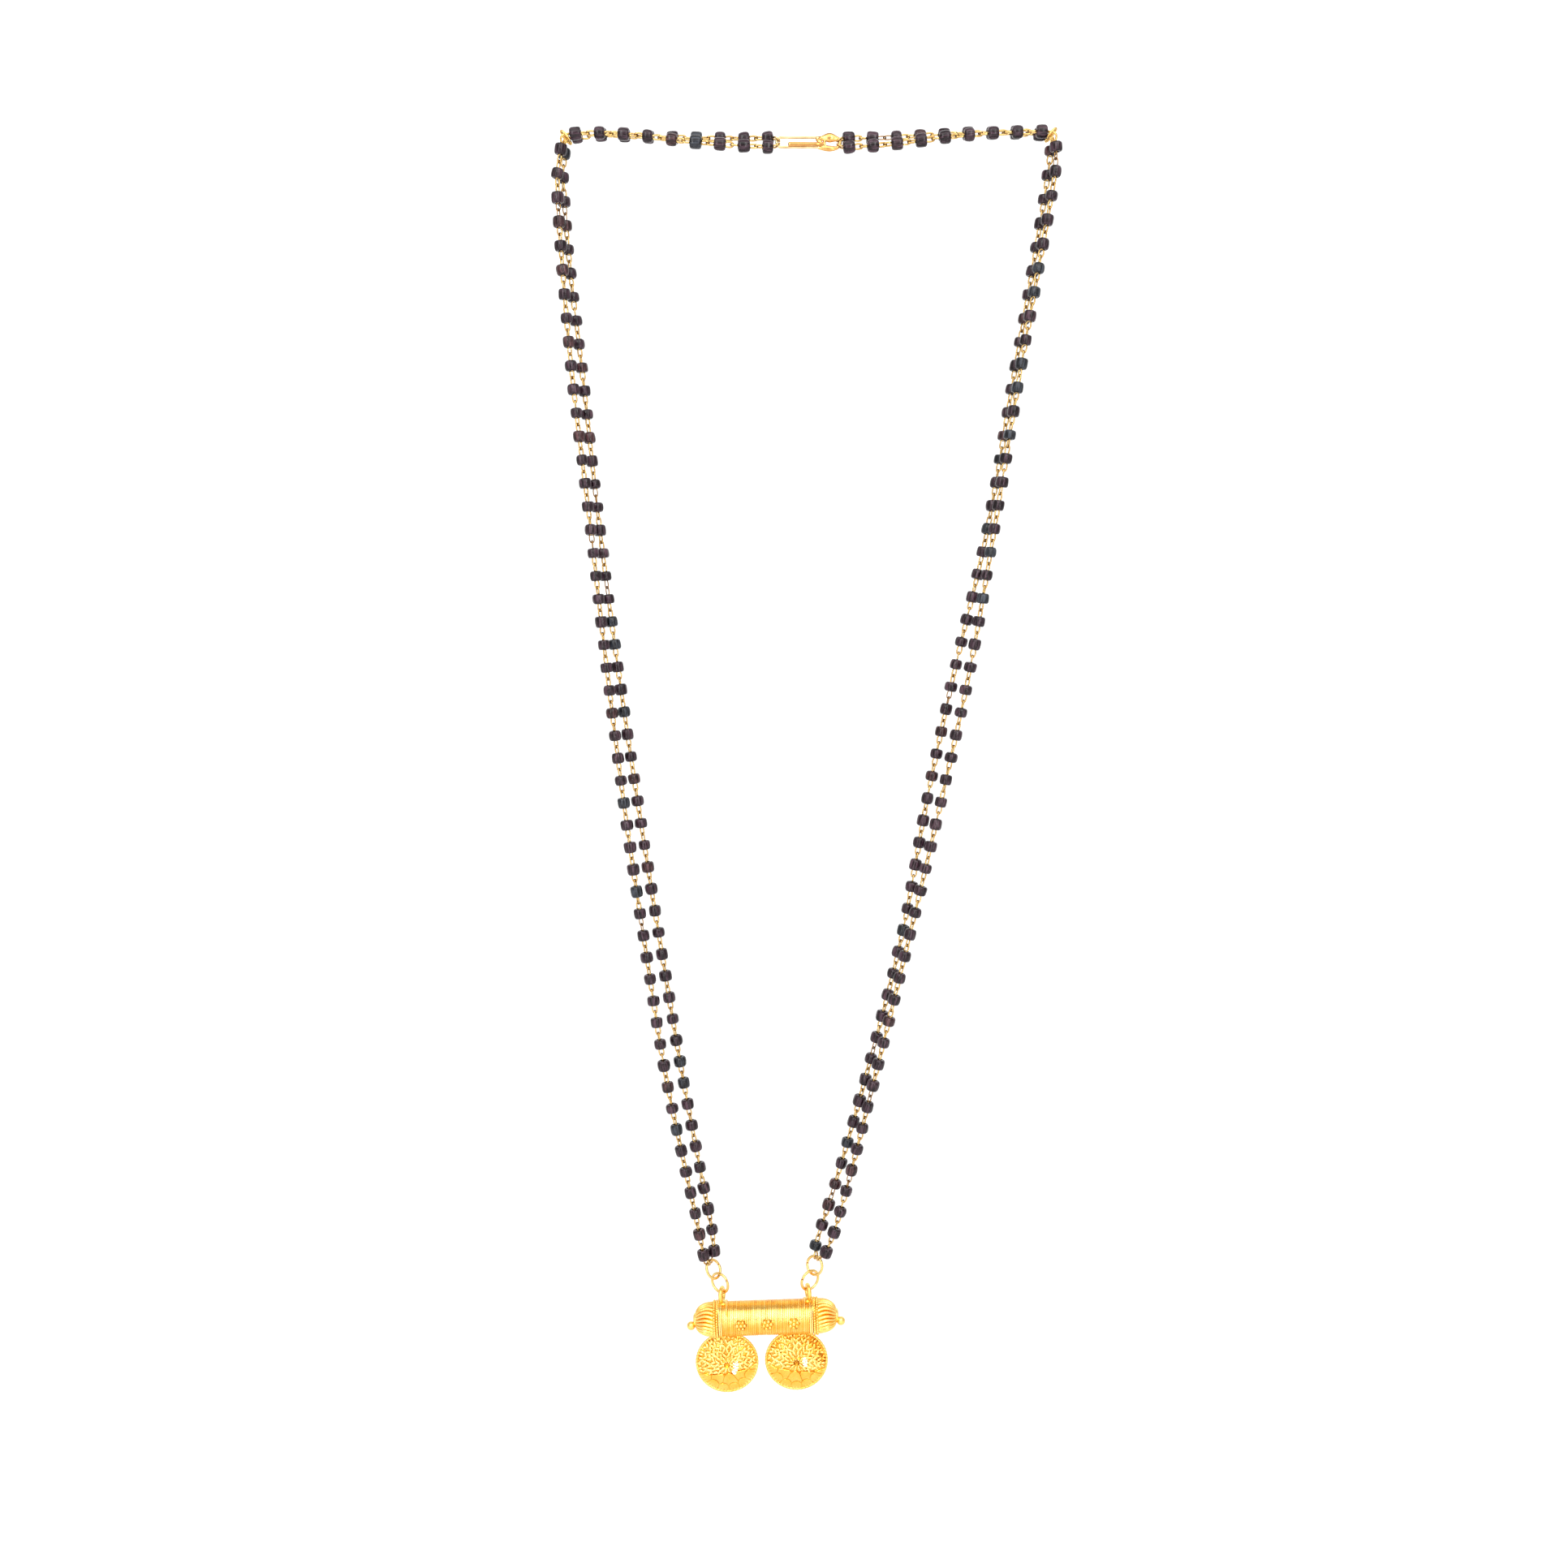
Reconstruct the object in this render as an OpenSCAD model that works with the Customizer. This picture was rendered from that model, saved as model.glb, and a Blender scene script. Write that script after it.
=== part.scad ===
// Two-strand black bead necklace with a tube and two-bowl pendant, in millimetres.
// +Z is up and +X is to the wearer's left. The origin is the middle of the line it hangs from.

/* [Beads] */
// Outside diameter of a seed bead
bead_d = 2.8; // [2.3:0.05:3.4]
// Length of a seed bead along its wire
bead_len = 2.25; // [1.8:0.05:2.8]
// Radius of the ball that rounds off a bead's two ends
bead_round_r = 1.62; // [1.5:0.02:2]
// Beads on each strand from a corner down to the pendant
side_beads = 50; // [40:1:54]
// Beads on each strand from a corner to the clasp
top_beads = 9; // [7:1:10]
// Thickness of the linked wire loops between two beads
link_d = 1.0; // [0.8:0.05:1.3]
// Free space between the front and the back strand
strand_gap = 0.2; // [0.15:0.05:0.6]

/* [Strand ends] */
// Wire of the eye that ends a strand
eye_wire_d = 0.4; // [0.3:0.02:0.46]
// Centreline radius of that eye
eye_r = 0.7; // [0.66:0.01:0.85]
// Play between an eye and the wire it hangs on
eye_play = 0.05; // [0.03:0.01:0.08]

/* [Clasp] */
// Wire of the clasp
clasp_wire_d = 0.6; // [0.5:0.02:0.66]
// Centreline length of the clasp from bend to bend
clasp_len = 12.95; // [11:0.05:16]
// Centreline radius of the hook's bend
hook_bend_r = 0.95; // [0.9:0.01:1.2]
// Centreline radius of the closed eye's two ends
clasp_eye_r = 1.05; // [0.95:0.01:1.25]
// Straight length in the closed eye
clasp_eye_run = 1.1; // [0.5:0.1:2]
// How far the safety tongue stands in front of the hook
tongue_offset = 0.5; // [0.45:0.01:0.7]

/* [Jump rings] */
// Wire of the jump rings
ring_wire_d = 0.6; // [0.5:0.02:0.7]
// Centreline radius of the upper jump rings
upper_ring_r = 2.0; // [1.6:0.05:2.5]
// Centreline radius of the lower jump rings
lower_ring_r = 2.2; // [1.9:0.05:2.7]
// Play between two linked rings
ring_play = 0.1; // [0.06:0.01:0.2]

/* [Pendant tube] */
// Diameter of the wire-wound tube
tube_d = 7.6; // [6.2:0.1:9.2]
// Length of the wire-wound stretch
tube_len = 19.2; // [18:0.1:24]
// Length of each plain band beside it
band_len = 0.4; // [0.3:0.05:0.6]
// How far the bands stand out from the tube
band_rise = 0.2; // [0.1:0.05:0.4]
// Length of each granulated collar
collar_len = 1.2; // [0.9:0.05:1.6]
// How far the collars stand out from the tube
collar_rise = 0.3; // [0.2:0.05:0.5]
// Length of each fluted end dome
dome_len = 4.0; // [2.5:0.1:4.2]
// Diameter of the cap disc on each dome
cap_d = 3.0; // [2.2:0.1:3.6]
// Length of the cap disc
cap_len = 0.8; // [0.6:0.1:1.4]
// Diameter of the ball soldered to the cap
end_ball_d = 1.9; // [1.4:0.1:2.4]
// Angle of the tube, its right end high
tube_tilt = 2.0; // [0:0.5:5]

/* [Bails] */
// Wire of the two soldered bails
bail_wire_d = 0.8; // [0.6:0.05:0.9]
// Centreline radius of a bail
bail_r = 1.5; // [1.4:0.05:2]
// Distance between the two bails
bail_span = 19; // [15:0.5:21]
// Free space between a bail and the jump ring's wire
bail_play = 0.25; // [0.2:0.01:0.3]
// Depth that a bail, bowl or floret is soldered into the tube
solder_depth = 0.2; // [0.15:0.05:0.3]

/* [Bowls] */
// Diameter of each bowl over its scalloped rim
bowl_d = 14; // [11.6:0.2:15]
// Height of a bowl's domed face above its rim
bowl_rise = 1.7; // [1.2:0.1:2.4]
// Sheet thickness of a bowl
bowl_wall = 0.7; // [0.5:0.05:0.9]
// Wire of the rim
rim_wire_d = 0.9; // [0.7:0.05:1.1]
// Distance between the two bowls' centres
bowl_span = 15.4; // [15.1:0.1:17]
// How far the two bowls hang off the tube's middle, along the tube
bowl_shift = -1.3; // [-1.6:0.1:1.6]
// How far the bowls' rims stand behind the tube's axis
bowl_back = 1.0; // [0:0.1:2]
// Diameter of the raised centre of each bowl
boss_d = 1.8; // [1.4:0.1:2.4]

/* [Florets] */
// Florets along the front of the tube
florets = 3; // [1:1:5]
// Diameter of a floret
floret_d = 2.6; // [2:0.1:3]
// Distance between florets
floret_pitch = 5.8; // [3.2:0.1:6.5]
// How far the middle floret stands off the tube's middle, along the tube
floret_shift = 0.35; // [-1:0.05:1]
// How far a floret stands out from the tube
floret_rise = 0.35; // [0.25:0.05:0.5]

/* [Hidden] */
$fn = 48;

bead_black = "#2a2229";
gold = "#e2a93c";
wire_gold = "#dcb35a";

// Steps of the curve between two route points
route_steps = 8;
// Each strand lies half a bead and half the free space from the middle plane
strand_y = (bead_d + strand_gap) / 2;
// How far a link is let into a bead
link_sink = 0.4;
// From the centre of an end eye to the centre of the nearest bead
end_run = bead_len / 2 + eye_r + eye_wire_d;

// The two upper corners, where the necklace bends over what it hangs from
corner_left = [-49.6, 0, -0.6];
corner_right = [49.8, 0, -0.1];

// Routes: x in mm, y as a share of strand_y, z in mm. The ends are worked out below.
top_left_front_way = [
    [-42, -1, -0.4], [-34, -1, -0.9], [-26, -0.95, -1.9], [-18, -0.85, -2.5],
    [-11, -0.8, -3], [-8.5, -0.8, -3.05]
];
top_left_back_way = [
    [-42, 1, 0.1], [-34, 1, -0.3], [-26, 0.95, -0.6], [-18, 0.85, -0.7],
    [-11, 0.8, -0.8], [-8.5, 0.8, -0.65]
];
top_right_front_way = [
    [8.8, -0.8, -3.1], [13.5, -0.8, -2.8],
    [20, -0.85, -2.2], [28, -0.95, -1.2], [36, -1, -0.5], [43, -1, -0.2]
];
top_right_back_way = [
    [8.8, 0.8, -0.7], [13.5, 0.8, -0.7],
    [20, 0.85, -0.4], [28, 0.95, 0.1], [36, 1, 0.4], [43, 1, 0.5]
];
left_front_way = [
    [-51.2, -1, -9], [-50.4, -1, -27], [-48.6, -0.9, -50], [-45.4, -0.85, -79], [-42.4, -0.75, -108],
    [-38.7, -0.7, -140], [-34, -0.7, -174], [-30.4, -0.7, -198], [-25.7, -0.75, -221.5],
    [-23.9, -0.7, -230], [-22.8, -0.7, -236.6]
];
left_back_way = [
    [-50.4, 1, -9], [-49.2, 1, -27], [-46.7, 0.9, -50], [-43.8, 0.85, -79], [-40.3, 0.75, -108],
    [-35.9, 0.7, -140], [-30.8, 0.7, -174], [-27, 0.7, -198], [-22.8, 0.75, -221.5],
    [-21.2, 0.7, -230], [-20.2, 0.7, -236.6]
];
right_front_way = [
    [50.6, -1, -7], [47.4, -1, -27], [43.6, -1, -50], [38.9, -1, -81], [34.4, -0.8, -109],
    [28.6, -0.8, -137], [21.9, -0.95, -167], [14.9, -0.95, -197], [9.4, -0.8, -220],
    [6.9, -0.7, -229.5], [4.9, -0.7, -236]
];
right_back_way = [
    [49.6, 1, -7], [46.6, 1, -27], [42.8, 1, -50], [37.8, 1, -81], [31.5, 0.8, -109],
    [25.8, 0.8, -137], [20.6, 0.95, -167], [13.3, 0.95, -197], [7, 0.8, -220],
    [4.1, 0.7, -229.5], [2.1, 0.7, -236]
];

// Clasp: the hook's bend is at the left, the closed eye at the right
hook_bend = [-5.45, 0, -1.85];
clasp_eye_end = hook_bend + [clasp_len - hook_bend_r - clasp_eye_r, 0, hook_bend_r - clasp_eye_r];
clasp_eye_start = clasp_eye_end - [clasp_eye_run, 0, 0];
tongue_reach = 1.4;
tongue_drop = 0.45;
tongue_angle = 25;
hook_mouth = 0.6;
tip_d = 1.25 * clasp_wire_d;
// Turn of the closed eye's wire before its end is soldered under the long wire
eye_end_turn = 145;
// Where the two eyes of a side sit on the hook's bend and on the closed eye
hook_eye_angle = 35;
clasp_eye_angle = 32;

// Hanging point of the pendant: the axis through the lower jump rings' lowest wires
pivot = [-9.1, 0, -246.2];
along = [cos(tube_tilt), 0, sin(tube_tilt)];
// Each ring's lean from upright, and its turn about that leaning line
lean_left_lower = -10;
turn_left_lower = -36;
lean_left_upper = -32;
turn_left_upper = 55;
lean_right_lower = 11;
turn_right_lower = 35;
lean_right_upper = 18;
turn_right_upper = -38;
// Angle on the upper ring between the strands' eyes and its highest point
eye_spread = 15;
// Turn of a bail about its own upright line
bail_turn = 12;

band_r = tube_d / 2 + band_rise;
collar_r = tube_d / 2 + collar_rise;
// The tube's wall ends, and the dome's ball is cut off, inside the collar
collar_mid = tube_len / 2 + 2 * band_len + collar_len / 2;
dome_rise = dome_len + collar_len / 2;
dome_base_r = tube_d / 2 - 0.1;
dome_ball_r = (pow(dome_base_r, 2) + pow(dome_rise, 2)) / (2 * dome_rise);
dome_end = collar_mid + dome_rise;
cap_sink = 0.35;
ball_sink = 0.5;
ball_front = 0.8;
ball_drop = 1.0;
// The bail's wire enters the tube, and its hole clears the jump ring's wire
bail_centre_z = tube_d / 2 + bail_r + bail_wire_d / 2 - solder_depth;
pivot_z = bail_centre_z + bail_r - bail_wire_d / 2 - bail_play - ring_wire_d / 2;
tube_centre = pivot - pivot_z * [-sin(tube_tilt), 0, cos(tube_tilt)];
bowl_ball_r = (pow(bowl_d / 2 - rim_wire_d / 2, 2) + pow(bowl_rise, 2)) / (2 * bowl_rise);
bowl_centre_z = -(sqrt(pow(tube_d / 2, 2) - pow(bowl_back, 2)) + bowl_d / 2 - solder_depth);
floret_thick = floret_rise + solder_depth;

function unit(v) = v / norm(v);

// Point on a smooth curve between b and c, with a before and d after
function curve(a, b, c, d, t) =
    (2 * b + (c - a) * t + (2 * a - 5 * b + 4 * c - d) * t * t + (3 * b - a - 3 * c + d) * t * t * t) / 2;

function smooth(p, n = 0) = concat(
    [for (i = [0:len(p) - 2], j = [0:route_steps - 1])
        curve(p[max(i - 1, 0)], p[i], p[i + 1], p[min(i + 2, len(p) - 1)], j / route_steps)],
    [p[len(p) - 1]]
);

// Distance along a line of points up to each one
function distances(p) = [
    for (i = 0, s = 0; i < len(p); i = i + 1, s = s + (i < len(p) ? norm(p[i] - p[i - 1]) : 0)) s
];

function point_at(p, s, where) = [
    for (k = [0:2]) lookup(where, [for (i = [0:len(p) - 1]) [s[i], p[i][k]]])
];

function widened(way) = [for (p = way) [p[0], p[1] * strand_y, p[2]]];

function front_of(corner) = corner - [0, strand_y, 0];

function back_of(corner) = corner + [0, strand_y, 0];

// The side strand's eye hangs in the top strand's eye, out and down from its centre
function corner_eye(corner, out) =
    let (slack = (eye_r - eye_wire_d - eye_play) / sqrt(2)) corner + [out * slack, 0, -slack - eye_r];

// Ring directions: up its leaning line, and across it in the ring's plane
function up_of(lean) = [sin(lean), 0, cos(lean)];

function across_of(lean, turn) = cos(turn) * [cos(lean), 0, -sin(lean)] + [0, sin(turn), 0];

function lower_ring_low(side) = pivot + side * bail_span / 2 * along;

function lower_centre(side, lean) = lower_ring_low(side) + lower_ring_r * up_of(lean);

function upper_centre(side, lean, upper_lean) =
    lower_centre(side, lean) + lower_ring_r * up_of(lean)
    - [0, 0, ring_wire_d + ring_play] + upper_ring_r * up_of(upper_lean);

left_upper = upper_centre(-1, lean_left_lower, lean_left_upper);
right_upper = upper_centre(1, lean_right_lower, lean_right_upper);

function outward(lean, turn, spread) = cos(spread) * up_of(lean) + sin(spread) * across_of(lean, turn);

function wire_way(lean, turn, spread) = cos(spread) * across_of(lean, turn) - sin(spread) * up_of(lean);

eye_seat = eye_r - eye_wire_d / 2 - ring_wire_d / 2 - eye_play;

function ring_eye(centre, lean, turn, spread) =
    centre + (upper_ring_r + eye_seat) * outward(lean, turn, spread);

// Eye on the clasp: side is -1 at the hook, 1 at the closed eye, and rise is -1 or 1
function clasp_out(side, angle, rise) = [side * cos(angle), 0, rise * sin(angle)];

function clasp_wire_way(side, angle, rise) = [side * rise * sin(angle), 0, -cos(angle)];

clasp_seat = eye_r - eye_wire_d / 2 - clasp_wire_d / 2 - eye_play;

function hook_eye(rise) = hook_bend + (hook_bend_r + clasp_seat) * clasp_out(-1, hook_eye_angle, rise);

function closed_eye(rise) = clasp_eye_end + (clasp_eye_r + clasp_seat) * clasp_out(1, clasp_eye_angle, rise);

module aim(v) {
    rotate([0, acos(v[2] / norm(v)), atan2(v[1], v[0])]) children();
}

module rod(a, b, d) {
    translate(a) aim(b - a) cylinder(d = d, h = norm(b - a));
}

module hoop(radius, wire) {
    rotate_extrude() translate([radius, 0]) circle(d = wire);
}

module bead() {
    rotate_extrude() intersection() {
        translate([0, -bead_len / 2]) square([bead_d / 2, bead_len]);
        circle(r = bead_round_r);
    }
}

// Linked wire loops between two beads, let into both beads' ends
module link(a, b) {
    inset = (bead_len / 2 - link_sink) * unit(b - a);
    rod(a + inset, b - inset, link_d);
}

// Eye that lies square across the wire it hangs on, with a stem from its rim to the nearest bead
module end_eye(centre, bead_place, host) {
    toward = bead_place - centre;
    stem_start = centre + eye_r * unit(toward - (host * toward) * host);
    translate(centre) aim(host) hoop(eye_r, eye_wire_d);
    rod(stem_start, bead_place, 1.5 * eye_wire_d);
}

module strand(first, way, last, beads, first_host, last_host) {
    line = smooth(concat([first], widened(way), [last]));
    s = distances(line);
    run = s[len(s) - 1] - 2 * end_run;
    places = [for (i = [0:beads - 1]) point_at(line, s, end_run + run * i / (beads - 1))];
    color(wire_gold) {
        end_eye(first, places[0], first_host);
        end_eye(last, places[beads - 1], last_host);
        for (i = [0:beads - 2]) link(places[i], places[i + 1]);
    }
    color(bead_black) for (i = [0:beads - 1])
        translate(places[i]) aim(places[min(i + 1, beads - 1)] - places[max(i - 1, 0)]) bead();
}

module strand_top_left_front() {
    strand(front_of(corner_left), top_left_front_way, hook_eye(-1), top_beads,
        [0, 1, 0], clasp_wire_way(-1, hook_eye_angle, -1));
}

module strand_top_left_back() {
    strand(back_of(corner_left), top_left_back_way, hook_eye(1), top_beads,
        [0, 1, 0], clasp_wire_way(-1, hook_eye_angle, 1));
}

module strand_top_right_front() {
    strand(closed_eye(-1), top_right_front_way, front_of(corner_right), top_beads,
        clasp_wire_way(1, clasp_eye_angle, -1), [0, 1, 0]);
}

module strand_top_right_back() {
    strand(closed_eye(1), top_right_back_way, back_of(corner_right), top_beads,
        clasp_wire_way(1, clasp_eye_angle, 1), [0, 1, 0]);
}

module strand_left_front() {
    strand(corner_eye(front_of(corner_left), -1), left_front_way,
        ring_eye(left_upper, lean_left_upper, turn_left_upper, -eye_spread), side_beads,
        [1, 0, 0], wire_way(lean_left_upper, turn_left_upper, -eye_spread));
}

module strand_left_back() {
    strand(corner_eye(back_of(corner_left), -1), left_back_way,
        ring_eye(left_upper, lean_left_upper, turn_left_upper, eye_spread), side_beads,
        [1, 0, 0], wire_way(lean_left_upper, turn_left_upper, eye_spread));
}

module strand_right_front() {
    strand(corner_eye(front_of(corner_right), 1), right_front_way,
        ring_eye(right_upper, lean_right_upper, turn_right_upper, eye_spread), side_beads,
        [1, 0, 0], wire_way(lean_right_upper, turn_right_upper, eye_spread));
}

module strand_right_back() {
    strand(corner_eye(back_of(corner_right), 1), right_back_way,
        ring_eye(right_upper, lean_right_upper, turn_right_upper, -eye_spread), side_beads,
        [1, 0, 0], wire_way(lean_right_upper, turn_right_upper, -eye_spread));
}

// Half or full turn of the clasp's wire in its own upright plane, from a start angle
module bend(centre, radius, start, turn) {
    translate(centre) rotate([90, 0, 0]) rotate([0, 0, start])
        rotate_extrude(angle = turn) translate([radius, 0]) circle(d = clasp_wire_d);
}

module clasp_hook() {
    up = [0, 0, 1];
    tongue_z = hook_bend[2] - tongue_drop;
    tongue_start = [clasp_eye_start[0] - clasp_eye_r - tongue_reach, -tongue_offset, tongue_z];
    tongue_tip = [hook_bend[0] + tongue_reach, -tongue_offset, tongue_z];
    tongue_root = clasp_eye_start + clasp_eye_r * [-cos(tongue_angle), 0, -sin(tongue_angle)];
    eye_end = clasp_eye_start + clasp_eye_r * [-sin(eye_end_turn), 0, -cos(eye_end_turn)];
    hook_tip = [clasp_eye_start[0] - clasp_eye_r - hook_mouth, 0, hook_bend[2] - hook_bend_r];
    color(gold) {
        bend(hook_bend, hook_bend_r, 90, 180);
        rod(hook_bend + hook_bend_r * up, clasp_eye_end + clasp_eye_r * up, clasp_wire_d);
        rod(hook_bend - hook_bend_r * up, hook_tip, clasp_wire_d);
        bend(clasp_eye_end, clasp_eye_r, -90, 180);
        rod(clasp_eye_start - clasp_eye_r * up, clasp_eye_end - clasp_eye_r * up, clasp_wire_d);
        translate(clasp_eye_start) mirror([1, 0, 0]) bend([0, 0, 0], clasp_eye_r, -90, eye_end_turn);
        rod(tongue_root, tongue_start, clasp_wire_d);
        rod(tongue_start, tongue_tip, clasp_wire_d);
        for (p = [hook_tip, eye_end, tongue_start, tongue_tip])
            translate(p) rotate([0, 90, 0]) sphere(d = tip_d);
    }
}

module jump_ring(centre, lean, turn, radius) {
    up = up_of(lean);
    side = across_of(lean, turn);
    color(gold) translate(centre) aim(cross(up, side)) hoop(radius, ring_wire_d);
}

module ring_left_upper() {
    jump_ring(left_upper, lean_left_upper, turn_left_upper, upper_ring_r);
}

module ring_left_lower() {
    jump_ring(lower_centre(-1, lean_left_lower), lean_left_lower, turn_left_lower, lower_ring_r);
}

module ring_right_upper() {
    jump_ring(right_upper, lean_right_upper, turn_right_upper, upper_ring_r);
}

module ring_right_lower() {
    jump_ring(lower_centre(1, lean_right_lower), lean_right_lower, turn_right_lower, lower_ring_r);
}

// One end of the tube: two plain bands, a collar, a dome, a cap and its ball
module tube_end() {
    rotate([0, 90, 0]) {
        for (i = [0, 1]) translate([0, 0, tube_len / 2 + i * band_len])
            cylinder(r = band_r - i * band_rise / 2, h = band_len);
        translate([0, 0, collar_mid]) hoop(collar_r - collar_len / 2, collar_len);
        intersection() {
            translate([0, 0, dome_end - dome_ball_r]) sphere(r = dome_ball_r);
            translate([0, 0, collar_mid]) cylinder(d = 2 * tube_d, h = dome_rise);
        }
        translate([0, 0, dome_end - cap_sink]) cylinder(d = cap_d, h = cap_len);
    }
    translate([dome_end - cap_sink + cap_len + end_ball_d / 2 - ball_sink, -ball_front, -ball_drop])
        sphere(d = end_ball_d);
}

module bail() {
    translate([0, 0, bail_centre_z]) rotate([90, 0, 90]) hoop(bail_r, bail_wire_d);
    translate([0, 0, tube_d / 2 - solder_depth])
        cylinder(r1 = bail_wire_d, r2 = bail_wire_d / 2, h = 2 * solder_depth);
}

// Shallow bowl, its domed face along +Z and its open back at z = 0
module bowl() {
    difference() {
        intersection() {
            translate([0, 0, bowl_rise - bowl_ball_r]) sphere(r = bowl_ball_r);
            cylinder(d = bowl_d, h = bowl_rise);
        }
        translate([0, 0, bowl_rise - bowl_ball_r]) sphere(r = bowl_ball_r - bowl_wall);
    }
    hoop(bowl_d / 2 - rim_wire_d / 2, rim_wire_d);
    translate([0, 0, bowl_rise - bowl_wall]) sphere(d = boss_d);
}

module floret() {
    cylinder(d = floret_d, h = floret_thick);
    translate([0, 0, floret_thick]) sphere(d = floret_d / 4);
}

module pendant() {
    color(gold) translate(tube_centre) rotate([0, -tube_tilt, 0]) {
        rotate([0, 90, 0]) cylinder(d = tube_d, h = 2 * collar_mid, center = true);
        tube_end();
        mirror([1, 0, 0]) tube_end();
        for (side = [-1, 1]) {
            translate([side * bail_span / 2, 0, 0]) rotate([0, 0, side * bail_turn]) bail();
            translate([bowl_shift + side * bowl_span / 2, bowl_back, bowl_centre_z])
                rotate([90, 0, 0]) bowl();
        }
        for (i = [0:florets - 1])
            translate([floret_shift + (i - (florets - 1) / 2) * floret_pitch, solder_depth - tube_d / 2, 0])
                rotate([90, 0, 0]) floret();
    }
}

strand_top_left_front();
strand_top_left_back();
strand_top_right_front();
strand_top_right_back();
strand_left_front();
strand_left_back();
strand_right_front();
strand_right_back();
clasp_hook();
ring_left_upper();
ring_left_lower();
ring_right_upper();
ring_right_lower();
pendant();
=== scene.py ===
import math
import random

import bmesh
import bpy
import numpy as np
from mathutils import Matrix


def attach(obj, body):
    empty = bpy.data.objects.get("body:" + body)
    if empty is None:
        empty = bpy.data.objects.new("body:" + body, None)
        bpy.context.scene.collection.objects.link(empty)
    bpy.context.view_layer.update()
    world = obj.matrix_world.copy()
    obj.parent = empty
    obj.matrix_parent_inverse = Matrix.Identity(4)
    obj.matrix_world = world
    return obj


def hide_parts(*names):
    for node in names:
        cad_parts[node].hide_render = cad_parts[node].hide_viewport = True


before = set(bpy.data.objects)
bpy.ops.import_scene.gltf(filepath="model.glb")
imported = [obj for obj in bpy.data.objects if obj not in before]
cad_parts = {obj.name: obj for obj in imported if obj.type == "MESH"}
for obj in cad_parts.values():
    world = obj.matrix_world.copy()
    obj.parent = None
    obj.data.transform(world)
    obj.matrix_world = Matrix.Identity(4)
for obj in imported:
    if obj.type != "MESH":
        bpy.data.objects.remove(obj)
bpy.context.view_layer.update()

# The necklace is drawn in millimetres in the CAD model's frame, and becomes metres in Shape.finish.
# Camera, stage and lights are placed in metres.
MM = 0.001
RIGHT, BACK, UP = np.eye(3)
SIDE_NAMES = {-1: "left", 1: "right"}


def vec(*v):
    return np.array(v, float)


def new_object(name, data):
    thing = bpy.data.objects.new(name, data)
    bpy.context.scene.collection.objects.link(thing)
    return thing


# Camera
SENSOR_WIDTH, FOCAL_LENGTH, NEAREST = 36.0, 37.27, 0.01
CAMERA_PLACE, CAMERA_TILT = (-0.004894, -0.3441, -0.0977), 84.0


def add_camera():
    data = bpy.data.cameras.new("photo_camera")
    data.sensor_width = SENSOR_WIDTH
    data.lens = FOCAL_LENGTH
    data.clip_start = NEAREST
    camera = new_object("photo_camera", data)
    camera.location = CAMERA_PLACE
    camera.rotation_euler = (math.radians(CAMERA_TILT), 0.0, 0.0)
    bpy.context.scene.camera = camera


add_camera()


# Sizes, as in part.scad
BEAD_D, BEAD_LEN = 2.8, 2.25
SIDE_BEADS, TOP_BEADS = 50, 9
STRAND_Y = (BEAD_D + 0.2) / 2
EYE_WIRE, EYE_R, EYE_PLAY = 0.4, 0.7, 0.05
END_RUN = BEAD_LEN / 2 + EYE_R + EYE_WIRE
CLASP_WIRE, CLASP_LEN = 0.6, 12.95
HOOK_R, CLASP_EYE_R, CLASP_EYE_RUN = 0.95, 1.05, 1.1
RING_WIRE, UPPER_R, LOWER_R, RING_PLAY = 0.6, 2.0, 2.2, 0.1
TUBE_D, TUBE_LEN, BAND_LEN, BAND_RISE = 7.6, 19.2, 0.4, 0.2
COLLAR_LEN, COLLAR_RISE, DOME_LEN = 1.2, 0.3, 4.0
CAP_LEN, CAP_SINK, BALL_D = 0.8, 0.35, 1.9
BALL_SINK, BALL_FRONT, BALL_DROP = 0.5, 0.8, 1.0
TILT = 2.0
BAIL_WIRE, BAIL_R, BAIL_SPAN, BAIL_PLAY, BAIL_TURN = 0.8, 1.5, 19.0, 0.25, 12.0
SOLDER = 0.2
BOWL_D, BOWL_RISE, BOWL_WALL, RIM_WIRE = 14.0, 1.7, 0.7, 0.9
BOWL_SPAN, BOWL_SHIFT, BOWL_BACK = 15.4, -1.3, 1.0
FLORETS, FLORET_D, FLORET_PITCH, FLORET_SHIFT = 3, 2.6, 5.8, 0.35

CORNER_LEFT, CORNER_RIGHT = vec(-49.6, 0, -0.6), vec(49.8, 0, -0.1)
HOOK_BEND = vec(-5.45, 0, -1.85)
CLASP_EYE_END = HOOK_BEND + vec(CLASP_LEN - HOOK_R - CLASP_EYE_R, 0, HOOK_R - CLASP_EYE_R)
CLASP_EYE_START = CLASP_EYE_END - vec(CLASP_EYE_RUN, 0, 0)
HOOK_ANGLE, CLASP_ANGLE = 35, 32
PIVOT = vec(-9.1, 0, -246.2)
EYE_SPREAD = 15
# Lean and turn of each jump ring
LEFT_LOWER, LEFT_UPPER = (-10, -36), (-32, 55)
RIGHT_LOWER, RIGHT_UPPER = (11, 35), (18, -38)

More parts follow.
